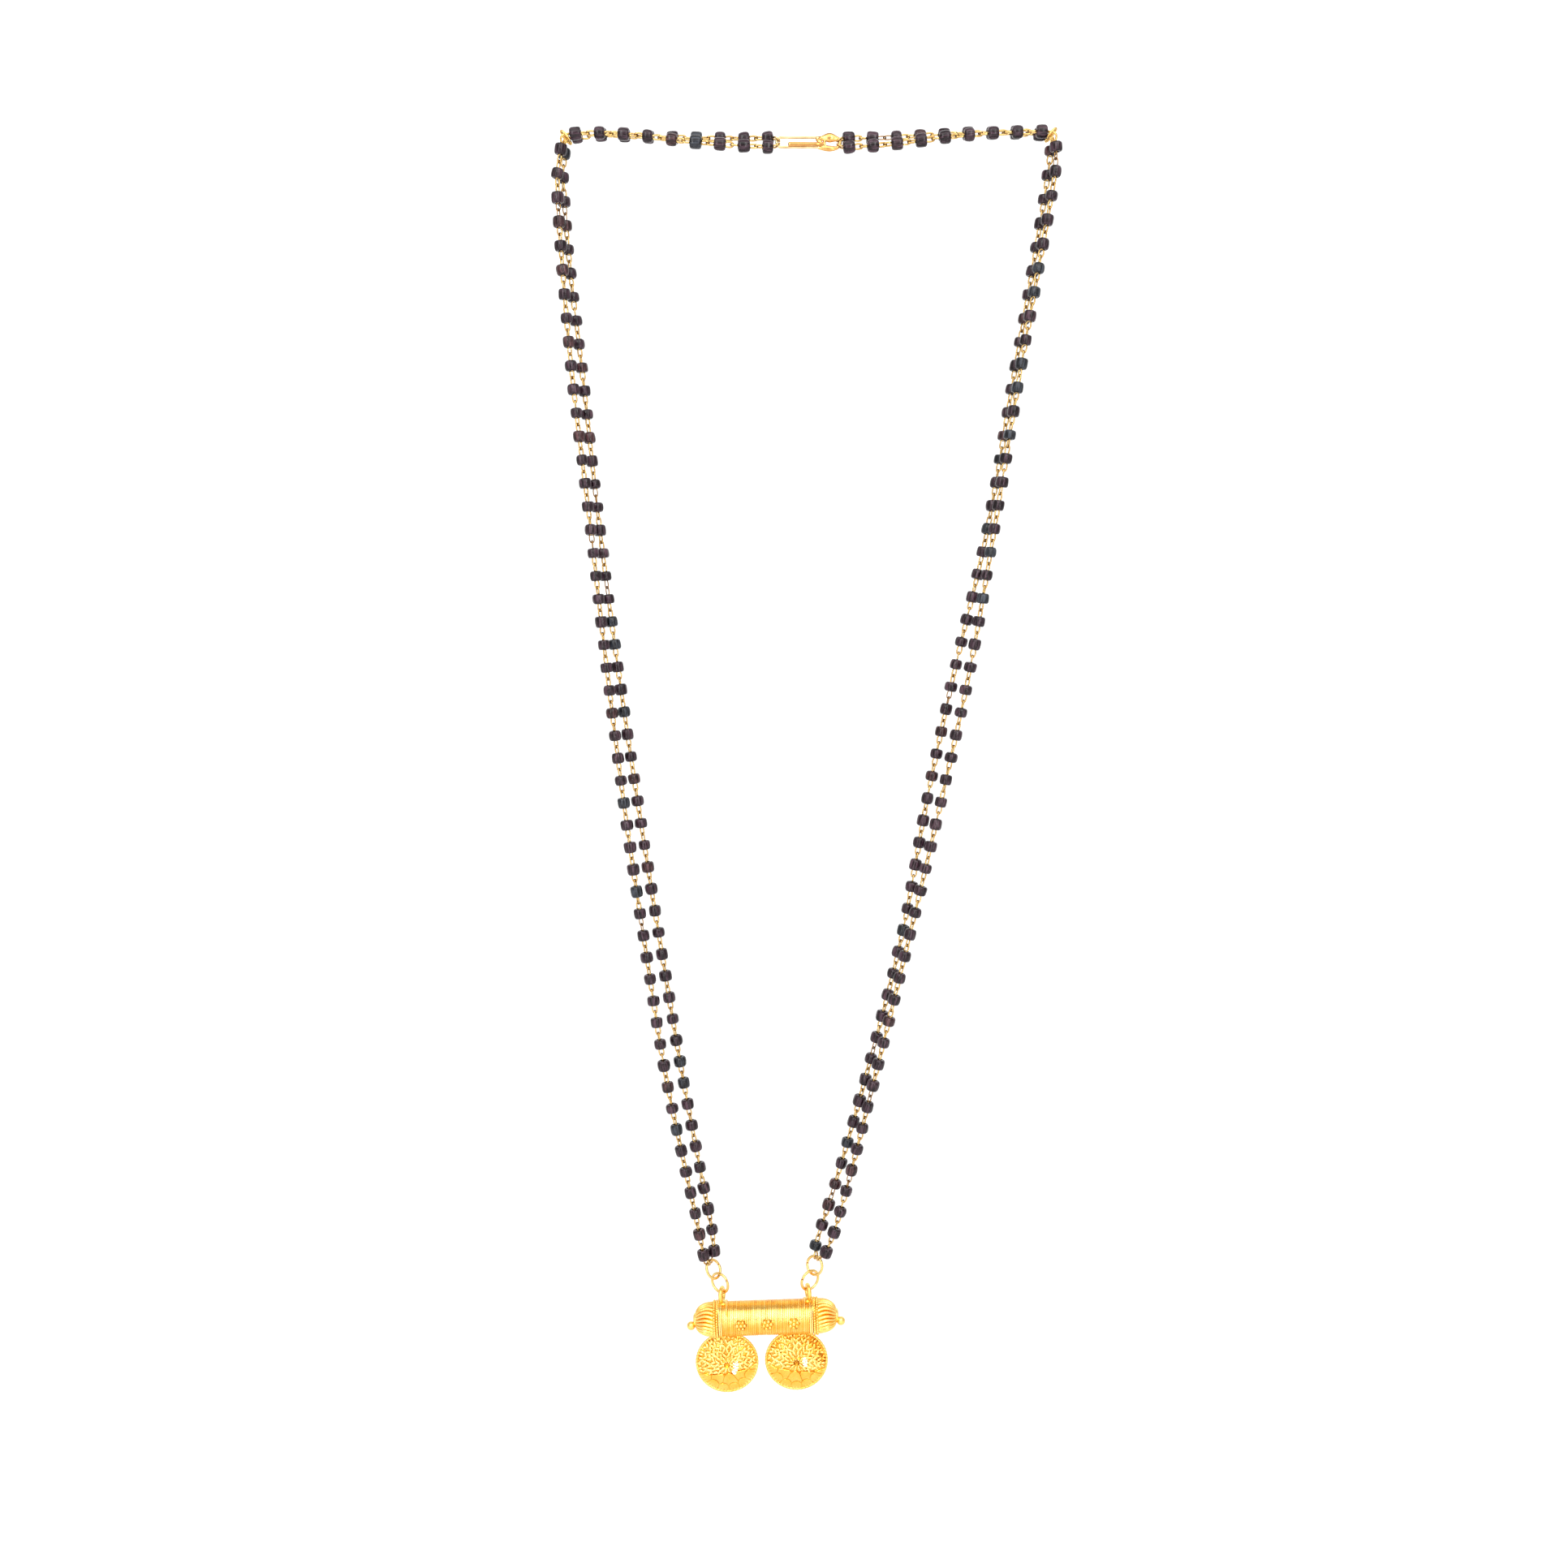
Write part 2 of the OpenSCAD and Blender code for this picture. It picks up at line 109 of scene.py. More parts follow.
# Routes of the strands in pairs. y is a share of STRAND_Y, forwards for the front strand.
# Top pairs: x, y, z of the front strand, z of the back strand
TOP_WAYS = {
    "top_left": (
        (-42, 1, -0.4, 0.1), (-34, 1, -0.9, -0.3), (-26, 0.95, -1.9, -0.6), (-18, 0.85, -2.5, -0.7),
        (-11, 0.8, -3, -0.8), (-8.5, 0.8, -3.05, -0.65)),
    "top_right": (
        (8.8, 0.8, -3.1, -0.7), (13.5, 0.8, -2.8, -0.7), (20, 0.85, -2.2, -0.4), (28, 0.95, -1.2, 0.1),
        (36, 1, -0.5, 0.4), (43, 1, -0.2, 0.5)),
}
# Side pairs: z, y, x of the front strand, x of the back strand
SIDE_WAYS = {
    "left": (
        (-9, 1, -51.2, -50.4), (-27, 1, -50.4, -49.2), (-50, 0.9, -48.6, -46.7), (-79, 0.85, -45.4, -43.8),
        (-108, 0.75, -42.4, -40.3), (-140, 0.7, -38.7, -35.9), (-174, 0.7, -34, -30.8),
        (-198, 0.7, -30.4, -27), (-221.5, 0.75, -25.7, -22.8), (-230, 0.7, -23.9, -21.2),
        (-236.6, 0.7, -22.8, -20.2)),
    "right": (
        (-7, 1, 50.6, 49.6), (-27, 1, 47.4, 46.6), (-50, 1, 43.6, 42.8), (-81, 1, 38.9, 37.8),
        (-109, 0.8, 34.4, 31.5), (-137, 0.8, 28.6, 25.8), (-167, 0.95, 21.9, 20.6),
        (-197, 0.95, 14.9, 13.3), (-220, 0.8, 9.4, 7), (-229.5, 0.7, 6.9, 4.1), (-236, 0.7, 4.9, 2.1)),
}
STRANDS = [(pair, place) for pair in (*TOP_WAYS, *SIDE_WAYS) for place in ("front", "back")]


def cosd(a):
    return math.cos(math.radians(a))


def sind(a):
    return math.sin(math.radians(a))


def angles(n):
    return np.linspace(0, 2 * math.pi, n, endpoint=False)


def circle(t, a, b):
    """Directions at the angles t, from a towards b."""
    return np.cos(t)[..., None] * a + np.sin(t)[..., None] * b


def unit(v):
    return v / np.linalg.norm(v)


# Routes, as in part.scad
def curve(a, b, c, d, t):
    return (2 * b + (c - a) * t + (2 * a - 5 * b + 4 * c - d) * t ** 2 + (3 * b - a - 3 * c + d) * t ** 3) / 2


def smooth(p, steps=8):
    """Smooth line through the places of p."""
    out = [curve(p[max(i - 1, 0)], p[i], p[i + 1], p[min(i + 2, len(p) - 1)], j / steps)
           for i in range(len(p) - 1) for j in range(steps)]
    return np.array(out + [p[-1]])


def up_of(lean):
    return vec(sind(lean), 0, cosd(lean))


def across_of(lean, turn):
    return cosd(turn) * vec(cosd(lean), 0, -sind(lean)) + vec(0, sind(turn), 0)


def lower_centre(side, lean):
    return PIVOT + side * BAIL_SPAN / 2 * vec(cosd(TILT), 0, sind(TILT)) + LOWER_R * up_of(lean)


def upper_centre(side, lean, upper_lean):
    link = LOWER_R * up_of(lean) - vec(0, 0, RING_WIRE + RING_PLAY)
    return lower_centre(side, lean) + link + UPPER_R * up_of(upper_lean)


LEFT_UPPER_C = upper_centre(-1, LEFT_LOWER[0], LEFT_UPPER[0])
RIGHT_UPPER_C = upper_centre(1, RIGHT_LOWER[0], RIGHT_UPPER[0])


# The next three give the centre of a strand's end eye, and the direction of the wire that it hangs on
def ring_eye(centre, ring, angle):
    up, side = up_of(ring[0]), across_of(*ring)
    seat = UPPER_R + EYE_R - EYE_WIRE / 2 - RING_WIRE / 2 - EYE_PLAY
    return centre + seat * (cosd(angle) * up + sind(angle) * side), cosd(angle) * side - sind(angle) * up


def clasp_eye(centre, radius, side, angle, rise):
    seat = radius + EYE_R - EYE_WIRE / 2 - CLASP_WIRE / 2 - EYE_PLAY
    place = centre + seat * vec(side * cosd(angle), 0, rise * sind(angle))
    return place, vec(side * rise * sind(angle), 0, -cosd(angle))


def corner_eye(corner, out):
    slack = (EYE_R - EYE_WIRE - EYE_PLAY) / math.sqrt(2)
    return corner + vec(out * slack, 0, -slack - EYE_R), RIGHT


def strand_ends(pair, place):
    """Both end eyes of a strand. A top strand's eye at a corner stands on the corner itself."""
    way = -1 if place == "front" else 1
    corner = (CORNER_LEFT if "left" in pair else CORNER_RIGHT) + way * STRAND_Y * BACK
    if pair == "top_left":
        return (corner, BACK), clasp_eye(HOOK_BEND, HOOK_R, -1, HOOK_ANGLE, way)
    if pair == "top_right":
        return clasp_eye(CLASP_EYE_END, CLASP_EYE_R, 1, CLASP_ANGLE, way), (corner, BACK)
    if pair == "left":
        return corner_eye(corner, -1), ring_eye(LEFT_UPPER_C, LEFT_UPPER, way * EYE_SPREAD)
    return corner_eye(corner, 1), ring_eye(RIGHT_UPPER_C, RIGHT_UPPER, -way * EYE_SPREAD)


def strand_way(pair, place):
    """The points that a strand passes between its end eyes."""
    y, own = (-STRAND_Y, 2) if place == "front" else (STRAND_Y, 3)
    if pair in TOP_WAYS:
        return [vec(row[0], row[1] * y, row[own]) for row in TOP_WAYS[pair]]
    return [vec(row[own], row[1] * y, row[0]) for row in SIDE_WAYS[pair]]


def bead_places(pair, place):
    """Centres of a strand's beads, and its directions there."""
    (first, _), (last, _) = strand_ends(pair, place)
    line = smooth([first] + strand_way(pair, place) + [last])
    run = np.concatenate([[0], np.cumsum(np.linalg.norm(np.diff(line, axis=0), axis=1))])
    count = TOP_BEADS if pair in TOP_WAYS else SIDE_BEADS
    at = np.linspace(END_RUN, run[-1] - END_RUN, count)
    places = np.stack([np.interp(at, run, line[:, k]) for k in range(3)], 1)
    axes = [unit(places[min(i + 1, count - 1)] - places[max(i - 1, 0)]) for i in range(count)]
    return places, axes


# Mesh building. The grain is drawn out along a turned form, and a ball's first row lies at this angle.
GRAIN_STRETCH, POLE_ANGLE = 0.12, 0.12


def across(direction, hint=(0.21, 0.93, 0.31)):
    """Two directions square to a direction and to each other."""
    a = unit(np.cross(hint, direction))
    return a, np.cross(direction, a)


class Shape:
    """Collects closed forms in millimetres, and makes one mesh piece of them."""

    def __init__(self, place=None):
        self.place = place
        self.points, self.faces, self.tints, self.grains, self.count = [], [], [], [], 0

    def add(self, points, faces, tint=0.0, grain=None):
        points = np.asarray(points, float)
        self.grains.append(np.zeros((len(points), 3)) if grain is None else grain)
        if self.place is not None:
            points = self.place(points)
        self.points.append(points)
        self.faces += [tuple(int(i) + self.count for i in f) for f in faces]
        self.tints.append(tint + np.zeros(len(points)))
        self.count += len(points)

    def grid(self, rings, wrap_rows=False, caps=True, tint=0.0, grain=None):
        """Closed rows of points (rows, points in a row, 3) joined by four-sided faces."""
        rows, n = rings.shape[:2]
        faces = []
        for i in range(rows if wrap_rows else rows - 1):
            k = (i + 1) % rows
            for j in range(n):
                m = (j + 1) % n
                faces.append((i * n + j, i * n + m, k * n + m, k * n + j))
        if caps and not wrap_rows:
            faces.append(tuple(range(n))[::-1])
            faces.append(tuple((rows - 1) * n + j for j in range(n)))
        self.add(rings.reshape(-1, 3), faces, tint, grain)

    def tube(self, path, radius, sides, closed=False, tint=0.0, flat=1.0, hint=None):
        """Round wire along a path. radius and tint may vary along it, and flat scales it along the hint."""
        path = np.asarray(path, float)
        n = len(path)
        tangent = np.roll(path, -1, 0) - np.roll(path, 1, 0) if closed else np.gradient(path, axis=0)
        tangent /= np.linalg.norm(tangent, axis=1)[:, None]
        if hint is None:
            a = across(tangent[0])[0]
            frames = [a]
            for i in range(1, n):
                a = unit(a - (a @ tangent[i]) * tangent[i])
                frames.append(a)
            frames = np.array(frames)
        else:
            frames = np.cross(hint, tangent)
            frames /= np.linalg.norm(frames, axis=1)[:, None]
        others = np.cross(tangent, frames)
        if closed and hint is None:
            a = frames[-1] - (frames[-1] @ tangent[0]) * tangent[0]
            twist = math.atan2(a @ others[0], a @ frames[0])
            angle = -twist * np.arange(n)[:, None] / n
            frames, others = (frames * np.cos(angle) + others * np.sin(angle),
                              others * np.cos(angle) - frames * np.sin(angle))
        radius = (radius + np.zeros(n))[:, None, None]
        t = angles(sides)[None, :, None]
        around = np.cos(t) * frames[:, None, :] + flat * np.sin(t) * others[:, None, :]
        ring = path[:, None, :] + radius * around
        self.grid(ring, wrap_rows=closed, tint=np.repeat(tint + np.zeros(n), sides))

    def turned(self, profile, centre, axis, sides, loop=False, shape=None, tint=0.0, seed=None):
        """Form turned about an axis from places along it and radii, which shape(place, angle) scales.

        With a seed, "grain" holds each point's place round the axis, so that a texture streaks along it.
        """
        a, b = across(axis)
        profile = np.asarray(profile, float)
        t = angles(sides)
        r = profile[:, 1][:, None] * np.ones(sides)
        if shape is not None:
            r = r * shape(profile[:, 0][:, None], t[None, :])
        ring = centre + profile[:, 0][:, None, None] * axis + r[:, :, None] * circle(t, a, b)
        if np.ndim(tint) == 1:
            tint = np.repeat(tint, sides)
        grain = None
        if seed is not None:
            z = GRAIN_STRETCH * profile[:, 0][:, None] + seed + 0 * r
            grain = np.stack([r * np.cos(t), r * np.sin(t), z], -1).reshape(-1, 3)
        self.grid(ring, wrap_rows=loop, tint=tint, grain=grain)

    def ball(self, centre, radius, rows, sides, tint):
        t = np.linspace(POLE_ANGLE, math.pi - POLE_ANGLE, rows)
        profile = np.stack([-radius * np.cos(t), radius * np.sin(t)], 1)
        self.turned(profile, centre, UP, sides, tint=tint)

    def finish(self, name, material, body, slot, nodes=(), sharp=None):
        """Makes the piece. Edges sharper than the angle sharp, in degrees, stay hard."""
        mesh = bpy.data.meshes.new(name)
        mesh.from_pydata((np.vstack(self.points) * MM).tolist(), [], self.faces)
        mesh.attributes.new("tint", "FLOAT", "POINT").data.foreach_set(
            "value", np.concatenate(self.tints).astype(np.float32))
        mesh.attributes.new("grain", "FLOAT_VECTOR", "POINT").data.foreach_set(
            "vector", np.concatenate(self.grains).astype(np.float32).ravel())
        turned = bmesh.new()
        turned.from_mesh(mesh)
        bmesh.ops.recalc_face_normals(turned, faces=turned.faces)
        turned.to_mesh(mesh)
        turned.free()
        mesh.polygons.foreach_set("use_smooth", [True] * len(mesh.polygons))
        if sharp is not None:
            mesh.set_sharp_from_angle(angle=math.radians(sharp))
        mesh.materials.append(material)
        piece = new_object(name, mesh)
        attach(piece, body)
        if nodes:
            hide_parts(*nodes)


# Materials. The streaks of the glass run along a bead's own grain, its specks through space.
CLOUD_SCALE, CLOUD_DEPTH = 420.0, 0.16
GRAIN_SCALE, GRAIN_BUMP, GRAIN_HEIGHT = 2600.0, 0.25, 0.00003
STREAK_SCALE, SPECK_SCALE, GLASS_BUMP, GLASS_HEIGHT = 2.6, 1500.0, 0.5, 0.00012


def put(tree, node, inputs):
    """Gives a node's inputs their values, or links another node's output to them."""
    for key, value in inputs.items():
        if isinstance(value, bpy.types.NodeSocket):
            tree.links.new(value, node.inputs[key])
        else:
            node.inputs[key].default_value = value
    return node


def new_node(tree, kind, inputs, **settings):
    node = tree.nodes.new("ShaderNode" + kind)
    for key, value in settings.items():
        setattr(node, key, value)
    return put(tree, node, inputs)


def new_material(name):
    material = bpy.data.materials.new(name)
    material.use_nodes = True
    tree = material.node_tree
    return material, tree, tree.nodes["Principled BSDF"]


def noise(tree, coords, scale, detail):
    inputs = {"Vector": coords, "Scale": scale, "Detail": detail, "Roughness": 0.55}
    return new_node(tree, "TexNoise", inputs).outputs["Fac"]


def spread(tree, value, low, high):
    """Values from low to high for a noise, most of which lies between 0.3 and 0.7."""
    inputs = {"Value": value, "From Min": 0.3, "From Max": 0.7, "To Min": low, "To Max": high}
    return new_node(tree, "MapRange", inputs).outputs["Result"]


def add(tree, a, b):
    return new_node(tree, "Math", {0: a, 1: b}, operation="ADD").outputs[0]


def multiply_colours(tree, a, b):
    """The mix node's inputs 0, 6 and 7 are its factor and its two colours, and output 2 is their mix."""
    node = new_node(tree, "Mix", {}, data_type="RGBA", blend_type="MULTIPLY")
    return put(tree, node, {0: 1.0, 6: a, 7: b}).outputs[2]


def ramp(tree, value, stops):
    node = new_node(tree, "ValToRGB", {"Fac": value})
    elements = node.color_ramp.elements
    while len(elements) < len(stops):
        elements.new(0.5)
    for element, (place, colour) in zip(elements, stops):
        element.position = place
        element.color = (*colour, 1.0)
    return node.outputs["Color"]


def bump(tree, height, strength, distance):
    inputs = {"Height": height, "Strength": strength, "Distance": distance}
    return new_node(tree, "Bump", inputs).outputs["Normal"]


def texture_place(tree):
    return new_node(tree, "TexCoord", {}).outputs["Object"]


def point_values(tree, name):
    """Node that reads the tint or the grain, which Shape.finish keeps at a mesh's points."""
    return new_node(tree, "Attribute", {}, attribute_name=name)


def gold(name, wear_and_highlight, middle, painted_shade, painted_dark_shade, rough):
    """Plated metal: tint 0 is a worn high spot with painted highlight, 0.82 a crevice in painted shade, and 1
    a crevice in dark painted shade.
    """
    material, tree, shader = new_material(name)
    place = texture_place(tree)
    cloud = spread(tree, noise(tree, place, CLOUD_SCALE, 3.0), -CLOUD_DEPTH, CLOUD_DEPTH)
    clouded = add(tree, point_values(tree, "tint").outputs["Fac"], cloud)
    fine = noise(tree, place, GRAIN_SCALE, 2.0)
    put(tree, shader, {
        "Base Color": ramp(tree, clouded, [(0.0, wear_and_highlight), (0.45, middle), (0.82, painted_shade), (1.0, painted_dark_shade)]),
        "Roughness": spread(tree, fine, rough * 0.75, rough * 1.3),
        "Metallic": 1.0,
        "Coat Weight": 0.12,
        "Coat Roughness": 0.12,
        "Normal": bump(tree, fine, GRAIN_BUMP, GRAIN_HEIGHT),
    })
    return material


def black_glass():
    """Opaque glass with silky streaks along each bead, their bright ends partly painted highlight. tint picks
    its cast: aubergine, brown or blue-grey.
    """
    material, tree, shader = new_material("black_glass")
    streak = noise(tree, point_values(tree, "grain").outputs["Vector"], STREAK_SCALE, 3.0)
    speck = noise(tree, texture_place(tree), SPECK_SCALE, 2.0)
    cast = ramp(tree, point_values(tree, "tint").outputs["Fac"], [
        (0.0, (0.016, 0.007, 0.01)), (0.35, (0.026, 0.012, 0.017)), (0.62, (0.036, 0.017, 0.022)),
        (0.78, (0.04, 0.016, 0.017)), (0.95, (0.017, 0.018, 0.022))])
    # The streaks are partly the glass's own satin streaks; their bright end, lifted above white, also paints
    # highlight streaks into the colour.
    shade = ramp(tree, streak, [
        (0.36, (0.12, 0.12, 0.12)), (0.5, (0.75, 0.75, 0.75)), (0.64, (2.4, 2.6, 2.7))])
    height = add(tree, streak, spread(tree, speck, 0.0, 0.12))
    put(tree, shader, {
        "Base Color": multiply_colours(tree, cast, shade),
        "Roughness": spread(tree, speck, 0.1, 0.26),
        "IOR": 1.36,
        "Normal": bump(tree, height, GLASS_BUMP, GLASS_HEIGHT),
    })
    return material


GLASS = black_glass()
# Each metal has its worn and painted-highlight, usual, painted-shade and dark painted-shade colours, and its
# roughness
LINK_GOLD = gold(
    "link_gold", (0.66, 0.45, 0.17), (0.45, 0.26, 0.075), (0.26, 0.12, 0.03), (0.15, 0.065, 0.012), 0.2)
PALE_GOLD = gold(
    "pale_gold", (1.0, 0.86, 0.58), (0.88, 0.66, 0.36), (0.5, 0.33, 0.14), (0.36, 0.23, 0.1), 0.2)
CLASP_GOLD = gold(
    "clasp_gold", (0.88, 0.61, 0.27), (0.76, 0.42, 0.14), (0.52, 0.25, 0.07), (0.36, 0.15, 0.03), 0.22)
RING_GOLD = gold(
    "ring_gold", (0.87, 0.64, 0.26), (0.76, 0.47, 0.13), (0.55, 0.29, 0.06), (0.38, 0.17, 0.03), 0.22)
PENDANT_GOLD = gold(
    "pendant_gold", (1.0, 0.81, 0.3), (0.95, 0.56, 0.115), (0.88, 0.41, 0.03), (0.5, 0.19, 0.012), 0.27)


# Strands. Lengths and radii of beads are drawn as shares of BEAD_LEN and BEAD_D / 2.
TOP_LENGTHS, TOP_RADII = (0.95, 1.1), (0.95, 1.0)
SIDE_LENGTHS, SIDE_RADII = (0.84, 1.03), (0.88, 0.97)
# From this bead on, over so many beads, the side beads grow by these shares
GROW_FROM, GROW_OVER, GROW_LENGTH, GROW_RADIUS = 12, 16, 0.06, 0.04
HOLE_R, WALL_R, WALL_POINTS, BEAD_SIDES = 0.5, 0.72, 18, 36
# A bead's lean on its wire in degrees: how it scatters, and its range next to the clasp
BEAD_LEAN, CLASP_BEAD_LEANS = 2.6, (5, 9)
BEAD_FULL, BEAD_TAPER, BEAD_BOXES = 0.985, 0.035, (2.3, 3.5)
# Ripples round a bead: how deep, and how many
RIPPLES = ((0.013, 9), (0.009, 5), (0.012, 2))
ROD_R, ROD_SINK = 0.2, 0.14
WIRE_SIDES = 8
TOP_LINK_R, SIDE_LINK_R, DARK_LINK_R, END_LINK_R = 0.195, 0.17, 0.12, 0.19
LINK_SINK, LINK_OVERLAP, LINK_WIDTHS = 0.17, 0.04, (0.42, 0.52)
LINK_POINTS, LINK_SQUARE = 22, 2.5
KNOT_WIDTH, KNOT_RISE, KNOT_TINT = 2.6, 0.045, 0.75
# A teardrop's round part leaves its root's direction at this angle, and its legs bulge this much
NECK_ANGLE, LEG_BULGE = 48, 0.06
# The eyes at this distance from the middle and beyond hang at a corner
CORNER_FROM = 40
CORNER_LENGTH, CORNER_WIDTH, CORNER_TURN = 2.3, 0.5, 24
CORNERS = {-1: Shape(), 1: Shape()}


def bead_profile(length, radius, box):
    """Closed outline of a bead's wall: a barrel outside, a funnel-ended hole inside. box squares it off."""
    t = angles(WALL_POINTS) + math.pi / WALL_POINTS
    c, s = np.cos(t), np.sin(t)
    z = length / 2 * np.sign(c) * np.abs(c) ** (2 / box)
    reach = np.where(s > 0, radius - WALL_R, WALL_R - HOLE_R)
    return np.stack([z, WALL_R + reach * np.sign(s) * np.abs(s) ** (2 / box)], 1)


def oval(root, along, side, length, half_width, square=LINK_SQUARE, n=LINK_POINTS):
    """Closed wire loop from a root, measured between the wire's centres."""
    t = angles(n)
    c, s = np.cos(t), np.sin(t)
    x = half_width * np.sign(c) * np.abs(c) ** (2 / square)
    z = length / 2 * (1 + np.sign(s) * np.abs(s) ** (2 / square))
    return root + z[:, None] * along + x[:, None] * side


def teardrop(root, centre, host, radius):
    """Closed wire loop from a root round a centre, square across the wire that it hangs on."""
    toward = root - centre
    toward = unit(toward - (toward @ host) * host)
    side = np.cross(host, toward)
    t = np.radians(np.linspace(NECK_ANGLE, 360 - NECK_ANGLE, 20))
    arc = centre + radius * circle(t, toward, side)
    down = [arc[-1] + (root - arc[-1]) * f - LEG_BULGE * side for f in (0.35, 0.7)]
    back = [root + (arc[0] - root) * f + LEG_BULGE * side for f in (0.3, 0.65)]
    return np.vstack([arc, down, [root], back])


def corner_link(wires, root, centre):
    """A top strand's long link across the corner, nearly edge-on, on a short stem."""
    outward = math.copysign(1.0, centre[0])
    along = unit(vec(-outward, 0, -1))
    side = unit(vec(0, cosd(CORNER_TURN), 0) + sind(CORNER_TURN) * vec(outward, 0, -1) / math.sqrt(2))
    middle = centre + vec(-0.12 * outward, 0, -0.28)
    start = middle - CORNER_LENGTH / 2 * along
    wires.tube(oval(start, along, side, CORNER_LENGTH, CORNER_WIDTH, 2.3, 26), 0.25, WIRE_SIDES, True, 0.3)
    heel = middle - outward * vec(0.1, 0, 0)
    for step in (-0.2, 0.2):
        bow = (root + heel) / 2 + vec(0, 1.4 * step, 0.1)
        stem = [root + vec(0, step, 0), bow, heel + vec(0, step, 0.1)]
        wires.tube(stem, END_LINK_R, WIRE_SIDES, tint=0.5)


def bead_size(number, top, rng):
    if top:
        return BEAD_LEN * rng.uniform(*TOP_LENGTHS), BEAD_D / 2 * rng.uniform(*TOP_RADII)
    grown = min(max((number - GROW_FROM) / GROW_OVER, 0), 1)
    length = BEAD_LEN * (rng.uniform(*SIDE_LENGTHS) + GROW_LENGTH * grown)
    return length, BEAD_D / 2 * (rng.uniform(*SIDE_RADII) + GROW_RADIUS * grown)


def add_bead(beads, place, axis, size, number, near_clasp, rng):
    """One bead, leaning on its wire, tapered and rippled. Returns the direction of its hole."""
    lean = math.radians(rng.gauss(0, BEAD_LEAN))
    if near_clasp:
        lean = math.radians(rng.uniform(*CLASP_BEAD_LEANS)) * rng.choice((-1, 1))
    a, b = across(axis)
    turn = rng.uniform(0, 2 * math.pi)
    tilted = unit(axis + math.tan(lean) * (math.cos(turn) * a + math.sin(turn) * b))
    phases = [rng.uniform(0, 2 * math.pi) for _ in RIPPLES]
    taper = rng.uniform(-BEAD_TAPER, BEAD_TAPER)

    def uneven(z, t):
        waves = [depth * np.cos(count * t + phase) for (depth, count), phase in zip(RIPPLES, phases)]
        return BEAD_FULL + sum(waves) + taper * z

    # Most beads are aubergine, one in ten is brown and one in ten blue-grey
    cast = rng.random()
    tint = 0.1 + 0.5 * rng.random() if cast < 0.8 else (0.78 if cast < 0.9 else 0.95)
    profile = bead_profile(*size, rng.uniform(*BEAD_BOXES))
    beads.turned(profile, place, tilted, BEAD_SIDES, True, uneven, tint, seed=7.3 * number)
    return tilted


def add_links(wires, places, lengths, wire_r, rng):
    """Two interlocked wire eyes between two beads, knotted where they meet. A few are thin and dark."""
    knot = np.exp(-((np.arange(LINK_POINTS) - LINK_POINTS / 4) / KNOT_WIDTH) ** 2)
    for i in range(len(places) - 1):
        along = unit(places[i + 1] - places[i])
        low = places[i] + along * (lengths[i] / 2 - LINK_SINK)
        high = places[i + 1] - along * (lengths[i + 1] / 2 - LINK_SINK)
        reach = (np.linalg.norm(high - low) + 2 * wire_r + LINK_OVERLAP) / 2
        a = unit(np.cross(along, BACK))
        b = np.cross(along, a)
        lean = rng.gauss(38, 12) if rng.random() < 0.7 else rng.gauss(12, 8)
        if rng.random() < 0.5:
            lean = -lean
        dark = rng.random() < 0.06
        for root, way, angle in ((low, along, lean), (high, -along, lean + 90 + rng.uniform(-8, 8))):
            side = cosd(angle) * a + sind(angle) * b
            loop = oval(root, way, side, reach, rng.uniform(*LINK_WIDTHS))
            # The knot is painted darker, as shade in its wraps.
            tint = (0.65 if dark else rng.uniform(0.0, 0.2)) + KNOT_TINT * knot
            thick = (DARK_LINK_R if dark else wire_r) + KNOT_RISE * knot
            wires.tube(loop, thick, WIRE_SIDES, True, np.minimum(tint, 1))


def add_end(wires, pair, place, bead, length, centre, host):
    """Eye at a strand's end, round the clasp's or a jump ring's wire or linked to another at a corner."""
    root = bead + unit(centre - bead) * (length / 2 - LINK_SINK)
    outward = math.copysign(1.0, centre[0])
    corner = CORNERS[int(outward)]
    if abs(centre[0]) < CORNER_FROM:
        wires.tube(teardrop(root, centre, host, EYE_R - 0.01), END_LINK_R, WIRE_SIDES, True, 0.15)
    elif pair in TOP_WAYS:
        corner_link(corner, root, centre)
    else:
        hang = unit(vec(outward * 0.8, 0.5 if place == "front" else -0.5, 0.8))
        loop = teardrop(root, centre + vec(0, 0, 0.15), hang, EYE_R + 0.05)
        corner.tube(loop, 0.22, WIRE_SIDES, True, 0.35)


def build_strand(pair, place, seed):
    rng = random.Random(seed)
    places, axes = bead_places(pair, place)
    top = pair in TOP_WAYS
    beads, wires = Shape(), Shape()
    lengths = []
    for i, (bead, axis) in enumerate(zip(places, axes)):
        length, radius = bead_size(i, top, rng)
        from_clasp = len(places) - 1 - i if "left" in pair else i
        tilted = add_bead(beads, bead, axis, (length, radius), i, top and from_clasp < 2, rng)
        lengths.append(length)
        half = length / 2 - ROD_SINK
        wires.tube([bead - half * tilted, bead, bead + half * tilted], ROD_R, WIRE_SIDES, tint=0.5)
    add_links(wires, places, lengths, TOP_LINK_R if top else SIDE_LINK_R, rng)
    for k, end in zip((0, -1), strand_ends(pair, place)):
        add_end(wires, pair, place, places[k], lengths[k], *end)
    name = pair + "_" + place
    beads.finish("beads_" + name, GLASS, "necklace", "bead_glass", ["strand_" + name])
    wires.finish("links_" + name, LINK_GOLD, "necklace", "gold_wire")


for order, strand in enumerate(STRANDS):
    build_strand(*strand, seed=101 + order)
for corner_side, corner_links in CORNERS.items():
    corner_links.finish("corner_links_" + SIDE_NAMES[corner_side], RING_GOLD, "necklace", "gold_wire")


# Jump rings. The cut's two ends lie at these angles from it, and stand this far apart along the ring's axis.
CUT_ANGLES, CUT_STEP = (0.7, 359.3), 0.05
RING_POINTS, ROUND_SIDES, OUT_OF_ROUND = 64, 14, 0.006


